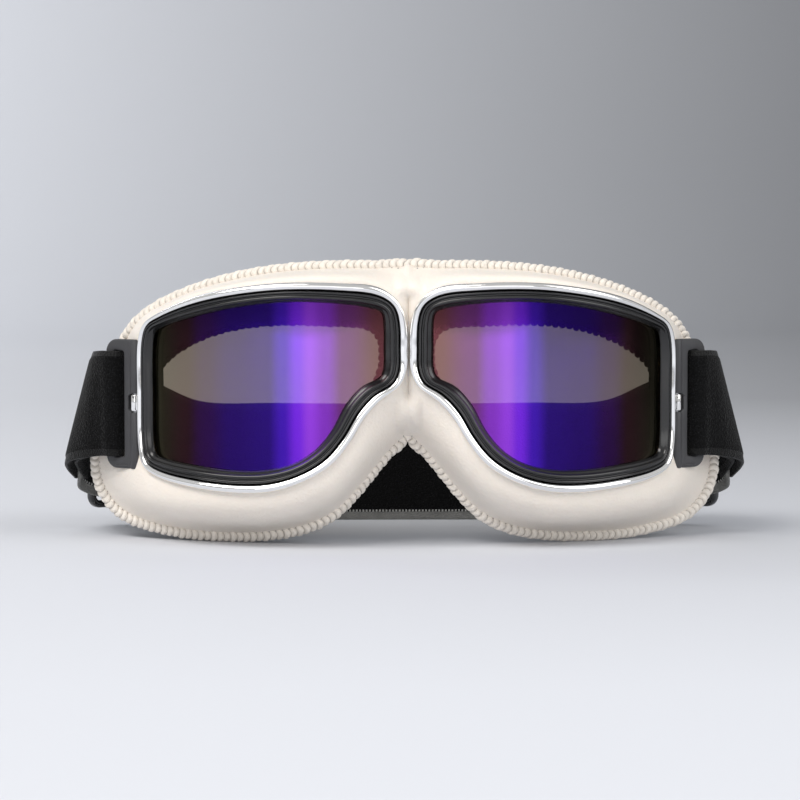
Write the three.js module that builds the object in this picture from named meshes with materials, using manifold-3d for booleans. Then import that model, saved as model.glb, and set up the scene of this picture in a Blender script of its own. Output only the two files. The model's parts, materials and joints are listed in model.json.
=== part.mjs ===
// Motorcycle goggles: two framed lenses on a nose hinge, a padded leather face surround,
// and an elastic strap held by a swivelling outrigger at each temple.
//
// Millimetres, +Z up. The lenses face -Y and the goggles are symmetric about X = 0.
// They stand on the two lower lobes of the pad and on the lower edge of the strap's back run.
import * as THREE from "three";
import { mergeVertices } from "three/addons/utils/BufferGeometryUtils.js";
import Module from "manifold-3d";

const wasm = await Module();
wasm.setup();

// ---------------------------------------------------------------- driving dimensions

// Plan curve of an eye: an arc towards the nose and a tighter arc towards the temple.
const EYE_CENTRE = 26.5; // most forward line of a lens, from the middle plane
const NOSE_RADIUS = 76;
const TEMPLE_RADIUS = 65;

// Depths behind the front of the rim, along the eye's own normal.
const RIM_DEPTH = 3;
const GAP = 0.3; // left between pieces that touch
const FRAME_FRONT = RIM_DEPTH + GAP;
const FRAME_BACK = 12; // at the nose, beside the hinge leaves
const FRAME_BACK_TEMPLE = 7.8;
const LENS_FRONT = 3.1;
const LENS_THICK = 1.8;
const PAD_FRONT = FRAME_FRONT + 0.4;

// The face side of the pad follows the wearer's brow: y = start + x² / curve.
const SEAM_START = 19;
const OPENING_START = 29;
const FACE_CURVE = 310;
const LINING_THICK = 1.2;
const STITCH_BAND = 1.3;
const STITCH_THICK = 2.6;

// One row for each station around the right eye, from the top of the nose outwards:
// rim [s, z] and window [s, z] on the unrolled eye curve, then the pad's stitched seam [x, z]
// and its opening against the face [x, z].
const STATIONS = [
  [[1.7, 71.4], [6.6, 68.4], [0, 83.2], [8.2, 62.2]],
  [[8.2, 75.9], [9.5, 69.6], [9, 83.4], [12, 64.4]],
  [[20, 77.1], [20, 71.1], [21, 83.4], [22, 64.8]],
  [[36, 77.2], [36, 71.5], [37, 82.3], [36, 65.2]],
  [[50, 75.8], [49.6, 70.2], [50.3, 80], [49, 64]],
  [[64.5, 73], [64, 67.5], [64, 75.9], [60, 61]],
  [[79.5, 67.8], [78.6, 63.9], [76, 70.2], [68.5, 56.5]],
  [[86.3, 64.4], [82.6, 62.3], [83, 64.2], [73.5, 52.6]],
  [[89.2, 58.5], [83.9, 58.5], [87.5, 56], [76.2, 47.4]],
  [[89.4, 44], [84.1, 44], [92, 42], [78, 40]],
  [[89, 29], [83.8, 29.8], [95.2, 27], [78, 33]],
  [[86.8, 22.8], [82.6, 26.4], [93.8, 14.5], [76, 26]],
  [[80, 19.8], [78.4, 25.2], [86.5, 5.6], [70.5, 21]],
  [[64.5, 17.3], [64.5, 23.6], [70, 0.9], [61, 17.5]],
  [[50, 16.3], [50.5, 22.7], [52, 0], [50.5, 16.5]],
  [[39.4, 17], [41.5, 23.1], [39.5, 0.8], [41, 17.5]],
  [[30, 20], [33.5, 25], [29.5, 2.9], [33, 20]],
  [[22, 24.8], [26.8, 29], [21.2, 6.9], [27, 24.5]],
  [[16.4, 31.5], [21.6, 35], [15.1, 12.7], [22.5, 30]],
  [[12, 38.4], [17.6, 42.2], [9.6, 19.4], [18.5, 36]],
  [[6.6, 43.8], [12.3, 47.6], [4.2, 26], [14, 41.4]],
  [[1.7, 46.9], [7, 49.8], [0, 29.6], [9.2, 45.4]],
  [[-0.6, 51.5], [5.9, 53], [0, 42], [7.4, 49.4]],
  [[-0.75, 58], [5.9, 58.5], [0, 56], [6.8, 54]],
  [[-0.6, 64.5], [5.9, 64.5], [0, 70], [7, 58.6]],
];
const NOTCH_STATION = 21; // where the seam comes back to the middle plane, over the nose
const RING_STEPS = STATIONS.length * 2;

// Nose hinge.
const BRIDGE_Y = 9.3;
const BRIDGE_LOW = 50;
const BRIDGE_HIGH = 66;
const KNUCKLE_RADIUS = 1.5;
const PIN_RADIUS = 0.65;
const BORE_RADIUS = 0.95;
const LEAF_THICK = 0.9;
const LEAF_TURN = 0.48; // radians from the middle plane
const HINGE_POCKET = { x: 3.9, front: 5.5, back: 17.2, low: 48, high: 68 };

// Outrigger: a slotted plate on a vertical pin beside the rim.
const OUTRIGGER_PIN = new THREE.Vector2(80.2, 31);
const OUTRIGGER_TURN = 38 * THREE.MathUtils.DEG2RAD; // of the plate from +X, in plan
const PLATE_LENGTH = 11;
const PLATE_THICK = 2;
const PLATE_LOW = 21.4;
const PLATE_HIGH = 59.8;
const PLATE_CORNER = 4;
const SLOT_START = 3.9;
const SLOT_END = 8;
const SLOT_EDGE = 3.4; // height of the arm above and below the slot
const BARREL_RADIUS = 1.6;
const LUG_MID = 41;
const LUG_HEIGHT = 4.8;
const NOTCH_HEIGHT = 5.6;
const OUTRIGGER_PIN_LENGTH = 14;

// Strap: plush elastic. Each row is [x, y, height of its middle, lean, width]; the lean sets
// the lower edge further out than the upper one.
const STRAP_THICK = 2;
const STRAP_WIDTH = 37;
const SLOT_STRAP_WIDTH = 31;
const STRAP_DROP = STRAP_WIDTH / 2; // height of its middle where it lies on the table

// Slider: a frame outside the strap, with its middle bar inside it.
const SLIDER_AT = new THREE.Vector2(86.4, 75.2);
const SLIDER_TURN = Math.atan2(0.7, -0.714);
const SLIDER_MID = 27.6;
const SLIDER_LENGTH = 25;
const SLIDER_HEIGHT = 43;
const SLIDER_THICK = 2.4;
const SLIDER_RAIL = 2.3;
const SLIDER_CORNER = 4;
const SLIDER_BAR = { length: 4, thick: 2, inward: 5.6 };

// ---------------------------------------------------------------- materials

const finish = (color, roughness, metalness = 0) =>
  new THREE.MeshStandardMaterial({ color, roughness, metalness });
const CHROME = finish(0xd8dade, 0.08, 1);
const STEEL = finish(0xb4b6ba, 0.3, 1);
const BLACK_FRAME = finish(0x1c1c1e, 0.35);
const BLACK_RUBBER = finish(0x222224, 0.28);
const LENS_TINT = finish(0x3a1678, 0.05, 0.4);
const CREAM_LEATHER = finish(0xece4da, 0.55);
const CREAM_THREAD = finish(0xf1ebe2, 0.6);
const BLACK_LINING = finish(0x0f0f10, 0.95);
const GREY_PLASTIC = finish(0x3c3c3f, 0.5);
const BLACK_ELASTIC = finish(0x101011, 0.95);
const GLOSS_BLACK = finish(0x121214, 0.18);

// ---------------------------------------------------------------- solids

/** The geometry with shared vertices joined, slivers dropped and its faces turned outwards. */
function closed(geometry) {
  geometry.deleteAttribute("normal");
  geometry.deleteAttribute("uv");
  const merged = mergeVertices(geometry, 1e-4);
  const corner = (i) => new THREE.Vector3().fromBufferAttribute(merged.attributes.position, i);
  const faces = [];
  let volume = 0;
  for (let k = 0; k < merged.index.count; k += 3) {
    const [a, b, c] = merged.index.array.subarray(k, k + 3);
    if (a === b || b === c || c === a) continue;
    faces.push([a, b, c]);
    volume += corner(a).dot(corner(b).cross(corner(c)));
  }
  const outward = volume < 0 ? faces.map(([a, b, c]) => [a, c, b]) : faces;
  return merged.setIndex(outward.flat());
}

function toManifold(geometry) {
  const body = closed(geometry.index ? geometry.toNonIndexed() : geometry.clone());
  return new wasm.Manifold(
    new wasm.Mesh({
      numProp: 3,
      vertProperties: body.attributes.position.array,
      triVerts: new Uint32Array(body.index.array),
    }),
  );
}

function fromManifold(solid) {
  const mesh = solid.getMesh();
  return new THREE.BufferGeometry()
    .setAttribute("position", new THREE.BufferAttribute(mesh.vertProperties, 3))
    .setIndex(new THREE.BufferAttribute(mesh.triVerts, 1));
}

/** The first geometry, joined to the others in `add` and cut by those in `cut`. */
function carve(first, add, cut) {
  let solid = toManifold(first);
  for (const g of add) solid = solid.add(toManifold(g));
  for (const g of cut) solid = solid.subtract(toManifold(g));
  return fromManifold(solid);
}

/** A closed ring: pointAt(i, j) is the j-th point of the section at step i around it. */
function ring(steps, sectionPoints, pointAt) {
  const geometry = new THREE.TorusGeometry(2, 1, sectionPoints, steps);
  const position = geometry.attributes.position;
  for (let k = 0; k < position.count; k++) {
    const i = k % (steps + 1);
    const j = Math.floor(k / (steps + 1));
    position.setXYZ(k, ...pointAt(i % steps, j % sectionPoints));
  }
  return closed(geometry);
}

/** A bar with `steps` steps along it: pointAt(t, u, v) with t from 0 to 1, u and v -1 or 1. */
function bar(steps, pointAt) {
  const geometry = new THREE.BoxGeometry(1, 2, 2, steps, 1, 1);
  const position = geometry.attributes.position;
  for (let k = 0; k < position.count; k++) {
    const t = position.getX(k) + 0.5;
    position.setXYZ(k, ...pointAt(t, position.getY(k), position.getZ(k)));
  }
  return closed(geometry);
}

/** A box between two corners. */
function block(low, high) {
  const size = high.map((h, k) => h - low[k]);
  const geometry = new THREE.BoxGeometry(...size);
  return geometry.translate(...low.map((l, k) => l + size[k] / 2));
}

/** An upright cylinder between two heights. */
function post(radius, x, y, low, high, sides = 16) {
  const geometry = new THREE.CylinderGeometry(radius, radius, high - low, sides);
  return geometry.rotateX(Math.PI / 2).translate(x, y, (low + high) / 2);
}

/** A rectangle with rounded corners, centred on the origin. */
function roundedRectangle(width, height, corner, Kind = THREE.Shape) {
  const [w, h] = [width / 2, height / 2];
  const outline = new Kind();
  outline.moveTo(w - corner, -h);
  outline.absarc(w - corner, corner - h, corner, -Math.PI / 2, 0);
  outline.absarc(w - corner, h - corner, corner, 0, Math.PI / 2);
  outline.absarc(corner - w, h - corner, corner, Math.PI / 2, Math.PI);
  outline.absarc(corner - w, corner - h, corner, Math.PI, 1.5 * Math.PI);
  outline.closePath();
  return outline;
}

// ---------------------------------------------------------------- the eye's curved frame

/** The point at arc length s from the nose and depth behind the front, at height z. */
function onEye(s, z, depth) {
  const radius = s > EYE_CENTRE ? TEMPLE_RADIUS : NOSE_RADIUS;
  const turn = (s - EYE_CENTRE) / radius;
  return [
    EYE_CENTRE + (radius - depth) * Math.sin(turn),
    radius - (radius - depth) * Math.cos(turn),
    z,
  ];
}

/** One column of STATIONS as a smooth closed outline of RING_STEPS points. */
function outline(column) {
  const knots = STATIONS.map((row) => new THREE.Vector3(row[column][0], row[column][1], 0));
  const curve = new THREE.CatmullRomCurve3(knots, true);
  return curve.getPoints(RING_STEPS).slice(0, RING_STEPS);
}

const RIM_LINE = outline(0);
const WINDOW_LINE = outline(1);
const SEAM_LINE = outline(2);
const OPENING_LINE = outline(3);

/** Inset 0 is the rim's outer edge and inset 1 the edge of the window. */
function eyePoint(i, inset, depth) {
  const at = RIM_LINE[i].clone().lerp(WINDOW_LINE[i], inset);
  return onEye(at.x, at.y, depth);
}

/** A ring around the eye whose section is a list of [inset, depth]. */
const eyeRing = (section) =>
  ring(RING_STEPS, section.length, (i, j) => eyePoint(i, ...section[j]));

const RIM_SECTION = [[0, 1.2], [0.1, 0.3], [0.22, 0], [0.36, 0.4], [0.41, RIM_DEPTH], [0, RIM_DEPTH]];
const GASKET_SECTION = [
  [0.46, 0.5], [0.75, 0.3], [1, 1.3], [1, LENS_FRONT - GAP],
  [0.66, LENS_FRONT - GAP], [0.66, 5.2], [0.46, 5.2],
];

/** The depth of the eye frame's back edge, which is less towards the temple. */
function frameBack(i) {
  const share = THREE.MathUtils.clamp((RIM_LINE[i].x - 35) / 45, 0, 1);
  return THREE.MathUtils.lerp(FRAME_BACK, FRAME_BACK_TEMPLE, share);
}

/** The eye frame: a wall round the eye with a flange behind the edge of the lens. */
function eyeFrame() {
  const section = (back) => [
    [0.16, FRAME_FRONT], [0.4, FRAME_FRONT], [0.4, 5.6], [0.82, 5.6],
    [0.82, 6.8], [0.4, 6.8], [0.4, back], [0.16, back],
  ];
  return ring(RING_STEPS, 8, (i, j) => eyePoint(i, ...section(frameBack(i))[j]));
}

/** The highest and lowest heights of an outline at arc length s. */
function span(line, s) {
  const heights = [];
  line.forEach((a, i) => {
    const b = line[(i + 1) % line.length];
    if ((a.x - s) * (b.x - s) > 0 || a.x === b.x) return;
    heights.push(a.y + ((b.y - a.y) * (s - a.x)) / (b.x - a.x));
  });
  return [Math.min(...heights), Math.max(...heights)];
}

/** The lens: a curved sheet held in the gasket's groove. */
function lensSheet() {
  const line = RIM_LINE.map((p, i) => p.clone().lerp(WINDOW_LINE[i], 0.72));
  const ends = line.map((p) => p.x);
  const [first, last] = [Math.min(...ends) + 0.1, Math.max(...ends) - 0.1];
  return bar(28, (t, up, back) => {
    const s = THREE.MathUtils.lerp(first, last, (1 - Math.cos(Math.PI * t)) / 2);
    const z = span(line, s)[up > 0 ? 1 : 0];
    return onEye(s, z, LENS_FRONT + (back > 0 ? LENS_THICK : 0));
  });
}

// ---------------------------------------------------------------- the padded face surround

/** A point of the seam or opening outline on the wearer's brow curve, set back by `behind`. */
function facePoint(line, start, i, behind = 0) {
  const x = Math.max(line[i].x, GAP / 2);
  return new THREE.Vector3(x, start + (x * x) / FACE_CURVE + behind, line[i].y);
}

const seamPoint = (i, behind) => facePoint(SEAM_LINE, SEAM_START, i, behind);
const openingPoint = (i, behind) => facePoint(OPENING_LINE, OPENING_START, i, behind);

/** From the seam point towards the eye frame by a distance, in the pad's own thickness. */
function inFromSeam(i, distance, behind = 0) {
  const seam = seamPoint(i);
  const eye = new THREE.Vector3(...eyePoint(i, 0, PAD_FRONT));
  const inward = eye.sub(seam).setY(0).normalize().multiplyScalar(distance);
  inward.x = Math.max(inward.x, GAP / 2 - seam.x);
  return seam.add(inward).add(new THREE.Vector3(0, behind, 0));
}

/** Part-way from the seam to the opening, set back by `behind`. */
const backPoint = (i, share, behind) =>
  seamPoint(i, behind).lerp(openingPoint(i, behind), share);

/** The leather stands proud in front over the brow and dips under the outrigger. */
function frontBulge(i) {
  const eye = new THREE.Vector3(...eyePoint(i, 0, PAD_FRONT));
  const middle = eye.lerp(inFromSeam(i, STITCH_BAND + GAP, -1.4), 0.5);
  middle.y -= 2.4 * (1 - (middle.x / 62) ** 2);
  return middle;
}

function padRing() {
  const behindFrame = (i) => frameBack(i) + 0.8;
  const section = [
    (i) => eyePoint(i, 0.1, PAD_FRONT),
    (i) => eyePoint(i, -0.06, PAD_FRONT),
    (i) => frontBulge(i).toArray(),
    (i) => inFromSeam(i, STITCH_BAND + GAP, -1.4).toArray(),
    (i) => inFromSeam(i, STITCH_BAND + GAP, 1.4).toArray(),
    (i) => backPoint(i, 0.5, 1.5).toArray(),
    (i) => openingPoint(i).toArray(),
    (i) => eyePoint(i, 0.5, behindFrame(i)),
    (i) => eyePoint(i, 0.1, behindFrame(i)),
  ];
  return ring(RING_STEPS, section.length, (i, j) => {
    const [x, y, z] = section[j](i);
    return [Math.max(x, GAP / 2), y, z];
  });
}

function liningRing() {
  const section = [
    [0.16, 2.2], [0.5, 1.9], [0.94, 0.8],
    [0.94, 0.8 + LINING_THICK], [0.5, 1.9 + LINING_THICK], [0.16, 2.2 + LINING_THICK],
  ];
  return ring(RING_STEPS, section.length, (i, j) => backPoint(i, ...section[j]).toArray());
}

/** The whipstitched edge: open, from the top middle round the temple to the nose notch. */
function stitchedEdge() {
  const steps = NOTCH_STATION * 2;
  return bar(steps, (t, u, v) => {
    const i = Math.round(t * steps);
    const inset = u > 0 ? STITCH_BAND : 0;
    return inFromSeam(i, inset, (v * STITCH_THICK) / 2).toArray();
  });
}

// ---------------------------------------------------------------- the nose hinge

/** A hinge leaf with its knuckles between the given pairs of heights. */
function bridgeLeaf(spans) {
  const leaf = (start, end, low, high) =>
    block([-LEAF_THICK / 2, start, low], [LEAF_THICK / 2, end, high])
      .rotateZ(-LEAF_TURN)
      .translate(0, BRIDGE_Y, 0);
  const knuckles = spans.flatMap(([low, high]) => [
    post(KNUCKLE_RADIUS, 0, BRIDGE_Y, low, high),
    leaf(0.4, 3, low, high),
  ]);
  const bore = post(BORE_RADIUS, 0, BRIDGE_Y, BRIDGE_LOW - 1, BRIDGE_HIGH + 1);
  return carve(leaf(2.3, 6.6, BRIDGE_LOW, BRIDGE_HIGH), knuckles, [bore]);
}

// ---------------------------------------------------------------- the outrigger

/** Turns a piece made along +X, with its outer face to -Y, into the outrigger's place. */
const atOutrigger = (geometry) =>
  geometry.rotateZ(OUTRIGGER_TURN).translate(OUTRIGGER_PIN.x, OUTRIGGER_PIN.y, 0);

/** The same for one point: `along` the plate and `out` from its middle, in plan. */
function outriggerPoint(along, out) {
  const [c, s] = [Math.cos(OUTRIGGER_TURN), Math.sin(OUTRIGGER_TURN)];
  return [OUTRIGGER_PIN.x + along * c + out * s, OUTRIGGER_PIN.y + along * s - out * c];
}

function outriggerPlate() {
  const height = PLATE_HIGH - PLATE_LOW;
  const middle = (PLATE_HIGH + PLATE_LOW) / 2;
  const face = new THREE.Shape();
  face.moveTo(0, -height / 2);
  face.lineTo(PLATE_LENGTH - PLATE_CORNER, -height / 2);
  face.absarc(PLATE_LENGTH - PLATE_CORNER, PLATE_CORNER - height / 2, PLATE_CORNER, -Math.PI / 2, 0);
  face.absarc(PLATE_LENGTH - PLATE_CORNER, height / 2 - PLATE_CORNER, PLATE_CORNER, 0, Math.PI / 2);
  face.lineTo(0, height / 2);
  face.closePath();
  const plate = new THREE.ExtrudeGeometry(face, {
    depth: PLATE_THICK,
    bevelEnabled: false,
    curveSegments: 4,
  });
  plate.rotateX(Math.PI / 2).translate(0, PLATE_THICK / 2, middle);
  const reach = 2 * BARREL_RADIUS;
  const slot = block(
    [SLOT_START, -reach, PLATE_LOW + SLOT_EDGE],
    [SLOT_END, reach, PLATE_HIGH - SLOT_EDGE],
  );
  const notch = block(
    [-reach, -reach, LUG_MID - NOTCH_HEIGHT / 2],
    [BARREL_RADIUS + 0.6, reach, LUG_MID + NOTCH_HEIGHT / 2],
  );
  const half = OUTRIGGER_PIN_LENGTH / 2 + 0.5;
  const bore = post(BORE_RADIUS, 0, 0, LUG_MID - half, LUG_MID + half);
  const barrel = post(BARREL_RADIUS, 0, 0, PLATE_LOW, PLATE_HIGH);
  return atOutrigger(carve(plate, [barrel], [slot, notch, bore]));
}

/** The chrome lug on the rim that the outrigger's pin passes through. */
function outriggerLug() {
  const [low, high] = [LUG_MID - LUG_HEIGHT / 2, LUG_MID + LUG_HEIGHT / 2];
  const rimEdge = Math.max(...RIM_LINE.map((p) => p.x));
  const turn = (rimEdge - EYE_CENTRE) / TEMPLE_RADIUS;
  const tab = block([-2.25, -1.1, low], [-0.4, 1.1, high]);
  tab.rotateZ(turn).translate(OUTRIGGER_PIN.x, OUTRIGGER_PIN.y, 0);
  const knuckle = post(KNUCKLE_RADIUS, OUTRIGGER_PIN.x, OUTRIGGER_PIN.y, low, high);
  const bore = post(BORE_RADIUS, OUTRIGGER_PIN.x, OUTRIGGER_PIN.y, low - 1, high + 1);
  return carve(knuckle, [tab], [bore]);
}

// ---------------------------------------------------------------- the strap and its slider

/** In the slider's own plan frame: `along` the strap towards the back, `out` from the head. */
function sliderPoint(along, out) {
  const [c, s] = [Math.cos(SLIDER_TURN), Math.sin(SLIDER_TURN)];
  return [SLIDER_AT.x + along * c + out * s, SLIDER_AT.y + along * s - out * c];
}

/** A ribbon of strap through rows of [x, y, middle height, lean, width]. */
function ribbon(rows, steps) {
  const edge = (way) =>
    new THREE.CatmullRomCurve3(
      rows.map(([x, y, z, lean, width]) => {
        const side = Math.sign(x) || 1;
        return new THREE.Vector3(x - (way * side * lean) / 2, y, z + (way * width) / 2);
      }),
    );
  const [lower, upper] = [edge(-1), edge(1)];
  return bar(steps, (t, up, out) => {
    const here = (up > 0 ? upper : lower).getPoint(t);
    const along = lower.getTangent(t).add(upper.getTangent(t)).normalize();
    const across = upper.getPoint(t).sub(lower.getPoint(t));
    const through = along.cross(across).normalize();
    return here.addScaledVector(through, (out * STRAP_THICK) / 2).toArray();
  });
}

const LOOP_OUT = 2.4; // of each layer's middle from the plate's
const LAYER = STRAP_THICK + GAP; // between the middles of two layers that lie together
const JOIN = -13.2; // along the slider's frame, where the side loop meets the back run

const SIDE_OUTER = [
  [...outriggerPoint(PLATE_LENGTH, LOOP_OUT), 40.6, 0, SLOT_STRAP_WIDTH],
  [94.6, 39.8, 40.7, 4, SLOT_STRAP_WIDTH + 2],
  [97.7, 46.2, 40.2, 8.4, STRAP_WIDTH - 1],
  [98.2, 54, 37.8, 8.4, STRAP_WIDTH],
  [97.6, 60, 34.6, 6, STRAP_WIDTH],
];
const SIDE_INNER = [
  [...outriggerPoint(PLATE_LENGTH, -LOOP_OUT), 40.6, 0, SLOT_STRAP_WIDTH],
  [92.2, 43.2, 40.7, 4, SLOT_STRAP_WIDTH + 2],
  [95.2, 48.4, 40.2, 8.4, STRAP_WIDTH - 1],
  [95, 54.4, 37.8, 8.4, STRAP_WIDTH],
  [94.4, 58.8, 34.6, 6.2, STRAP_WIDTH],
];
const SIDE_TURN = [
  [...outriggerPoint(8.4, LOOP_OUT + 0.1), 40.6, 0, SLOT_STRAP_WIDTH],
  [...outriggerPoint(6.2, 1.3), 40.6, 0, SLOT_STRAP_WIDTH],
  [...outriggerPoint(6.2, -1.3), 40.6, 0, SLOT_STRAP_WIDTH],
  [...outriggerPoint(8.4, -LOOP_OUT - 0.1), 40.6, 0, SLOT_STRAP_WIDTH],
];
const SIDE_LOOP = [...SIDE_OUTER.slice().reverse(), ...SIDE_TURN, ...SIDE_INNER];

/** The strap's end: along the inside of the strap, round the slider's bar and back. */
const TAIL = [
  [...sliderPoint(JOIN + 1.6, -LAYER - 0.9), 27.6, 1, STRAP_WIDTH],
  [...sliderPoint(-6, -LAYER - 0.6), SLIDER_MID + 1, 1, STRAP_WIDTH],
  [...sliderPoint(2, 0.1 - SLIDER_BAR.inward + LAYER), SLIDER_MID, 0, STRAP_WIDTH],
  [...sliderPoint(4.6, -SLIDER_BAR.inward), SLIDER_MID, 0, STRAP_WIDTH],
  [...sliderPoint(2, -0.1 - SLIDER_BAR.inward - LAYER), SLIDER_MID, 0, STRAP_WIDTH],
  [...sliderPoint(-8, -0.1 - SLIDER_BAR.inward - LAYER), SLIDER_MID + 1, 1, STRAP_WIDTH],
];

/** Half of the back run, from the side loop through the slider to the middle. */
const BACK_HALF = [
  [97, 61.9, 33.2, 5, STRAP_WIDTH],
  [...sliderPoint(-10, 0.2), SLIDER_MID + 2.2, 0.4, STRAP_WIDTH],
  [...sliderPoint(0, 0), SLIDER_MID, 0, STRAP_WIDTH],
  [...sliderPoint(11, 0), SLIDER_MID - 2.8, 0, STRAP_WIDTH],
  [64, 88.6, STRAP_DROP + 1.2, 0, STRAP_WIDTH],
  [40, 91.6, STRAP_DROP + 0.3, 0, STRAP_WIDTH],
];
const BACK_MIDDLE = [0, 93, STRAP_DROP, 0, STRAP_WIDTH];
const mirrored = ([x, ...rest]) => [-x, ...rest];
const BACK_RUN = [...BACK_HALF, BACK_MIDDLE, ...BACK_HALF.slice().reverse().map(mirrored)];

/** The slider: a rounded frame outside the strap, and a middle bar inside it on two posts. */
function slider() {
  const frame = roundedRectangle(SLIDER_LENGTH, SLIDER_HEIGHT, SLIDER_CORNER);
  const window = [SLIDER_LENGTH - 2 * SLIDER_RAIL, SLIDER_HEIGHT - 2 * SLIDER_RAIL];
  frame.holes.push(roundedRectangle(...window, 1.5, THREE.Path));
  const plate = new THREE.ExtrudeGeometry(frame, {
    depth: SLIDER_THICK,
    bevelEnabled: false,
    curveSegments: 4,
  });
  const outside = STRAP_THICK / 2 + 2 * GAP;
  plate.rotateX(Math.PI / 2).translate(0, -outside, 0);
  const { length, thick, inward } = SLIDER_BAR;
  const reach = SLIDER_HEIGHT / 2 - 0.4;
  const inner = inward + thick / 2;
  const middle = block([-length / 2, inward - thick / 2, -reach], [length / 2, inner, reach]);
  const postOf = (way) => {
    const ends = [way * reach, way * (reach - SLIDER_RAIL + 0.6)];
    const [low, high] = [Math.min(...ends), Math.max(...ends)];
    return block([-length / 2, -outside - SLIDER_THICK / 2, low], [length / 2, inner, high]);
  };
  const solid = carve(plate, [middle, postOf(1), postOf(-1)], []);
  return solid.rotateZ(SLIDER_TURN).translate(SLIDER_AT.x, SLIDER_AT.y, SLIDER_MID);
}

// ---------------------------------------------------------------- assembly

const goggles = new THREE.Group();

function addMesh(name, geometry, material) {
  const mesh = new THREE.Mesh(geometry, material);
  mesh.name = name;
  goggles.add(mesh);
}

/** The pieces of one side as [name, geometry, material], made on the right. */
function sidePieces() {
  const { x, front, back, low, high } = HINGE_POCKET;
  const pocket = block([-x, front, low], [x, back, high]);
  const pinHalf = OUTRIGGER_PIN_LENGTH / 2;
  const pin = post(
    PIN_RADIUS, OUTRIGGER_PIN.x, OUTRIGGER_PIN.y, LUG_MID - pinHalf, LUG_MID + pinHalf, 12,
  );
  return [
    ["chrome_rim", eyeRing(RIM_SECTION), CHROME],
    ["lens_gasket", eyeRing(GASKET_SECTION), BLACK_RUBBER],
    ["lens", lensSheet(), LENS_TINT],
    ["eye_frame", eyeFrame(), BLACK_FRAME],
    ["face_pad", carve(padRing(), [], [pocket]), CREAM_LEATHER],
    ["face_lining", liningRing(), BLACK_LINING],
    ["stitched_edge", stitchedEdge(), CREAM_THREAD],
    ["outrigger", outriggerPlate(), GREY_PLASTIC],
    ["outrigger_lug", outriggerLug(), CHROME],
    ["outrigger_pin", pin, STEEL],
    ["strap_side", ribbon(SIDE_LOOP, 30), BLACK_ELASTIC],
    ["strap_tail", ribbon(TAIL, 14), BLACK_ELASTIC],
    ["strap_slider", slider(), GLOSS_BLACK],
  ];
}

for (const [name, geometry, material] of sidePieces()) {
  addMesh(`${name}_right`, geometry, material);
  addMesh(`${name}_left`, closed(geometry.clone().scale(-1, 1, 1)), material);
}

const third = (BRIDGE_HIGH - BRIDGE_LOW) / 3;
const [lowKnuckle, highKnuckle] = [BRIDGE_LOW + third, BRIDGE_HIGH - third];
const rightLeaf = bridgeLeaf([[BRIDGE_LOW, lowKnuckle - GAP], [highKnuckle + GAP, BRIDGE_HIGH]]);
const leftLeaf = bridgeLeaf([[lowKnuckle, highKnuckle]]).scale(-1, 1, 1);
addMesh("bridge_leaf_right", rightLeaf, STEEL);
addMesh("bridge_leaf_left", closed(leftLeaf), STEEL);
addMesh("bridge_pin", post(PIN_RADIUS, 0, BRIDGE_Y, BRIDGE_LOW - 0.5, BRIDGE_HIGH + 0.5, 12), STEEL);
addMesh("strap_back", ribbon(BACK_RUN, 56), BLACK_ELASTIC);

// The origin goes to the bottom centre of the whole.
const extent = new THREE.Box3().setFromObject(goggles);
const centre = extent.getCenter(new THREE.Vector3());
goggles.position.set(-centre.x, -centre.y, -extent.min.z);

export default goggles;
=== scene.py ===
import json
import math

import bpy
import numpy as np
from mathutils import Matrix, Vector


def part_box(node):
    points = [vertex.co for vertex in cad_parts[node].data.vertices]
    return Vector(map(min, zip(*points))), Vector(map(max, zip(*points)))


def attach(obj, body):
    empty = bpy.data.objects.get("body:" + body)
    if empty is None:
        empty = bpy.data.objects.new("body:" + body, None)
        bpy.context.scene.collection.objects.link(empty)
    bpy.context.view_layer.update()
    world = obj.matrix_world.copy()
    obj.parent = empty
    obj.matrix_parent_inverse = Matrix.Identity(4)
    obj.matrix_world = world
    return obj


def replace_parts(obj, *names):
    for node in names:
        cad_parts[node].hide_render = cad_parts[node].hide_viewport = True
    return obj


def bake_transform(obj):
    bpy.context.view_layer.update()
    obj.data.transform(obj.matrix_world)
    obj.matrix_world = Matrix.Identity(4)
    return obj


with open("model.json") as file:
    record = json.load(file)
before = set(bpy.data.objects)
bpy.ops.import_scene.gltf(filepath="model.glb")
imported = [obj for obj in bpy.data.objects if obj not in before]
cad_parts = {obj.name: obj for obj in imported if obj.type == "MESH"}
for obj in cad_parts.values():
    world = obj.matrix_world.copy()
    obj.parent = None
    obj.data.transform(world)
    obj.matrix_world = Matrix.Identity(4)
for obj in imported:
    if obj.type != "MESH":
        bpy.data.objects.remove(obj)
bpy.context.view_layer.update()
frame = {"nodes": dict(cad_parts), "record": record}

bl_info = {
    "name": "Motorcycle Goggles",
    "version": (1, 0, 0),
    "blender": (4, 5, 0),
    "location": "3D View > Sidebar > Goggles",
    "description": "Builds the leather, lenses, rims and strap of a pair of riding goggles",
    "category": "Add Mesh",
}

# ------------------------------------------------------------------ the goggles' own frame

MM = 0.001
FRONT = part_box("chrome_rim_right")[0].y  # the most forward line of the rims
SIDES = {"right": 1, "left": -1}
HALVES = {"right": "half_right", "left": "half_left"}

EYE_CENTRE = 26.5 * MM
NOSE_RADIUS = 76 * MM
TEMPLE_RADIUS = 65 * MM
FACE_CURVE = 310 * MM
SEAM_START = 19 * MM
OPENING_START = 29 * MM

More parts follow.
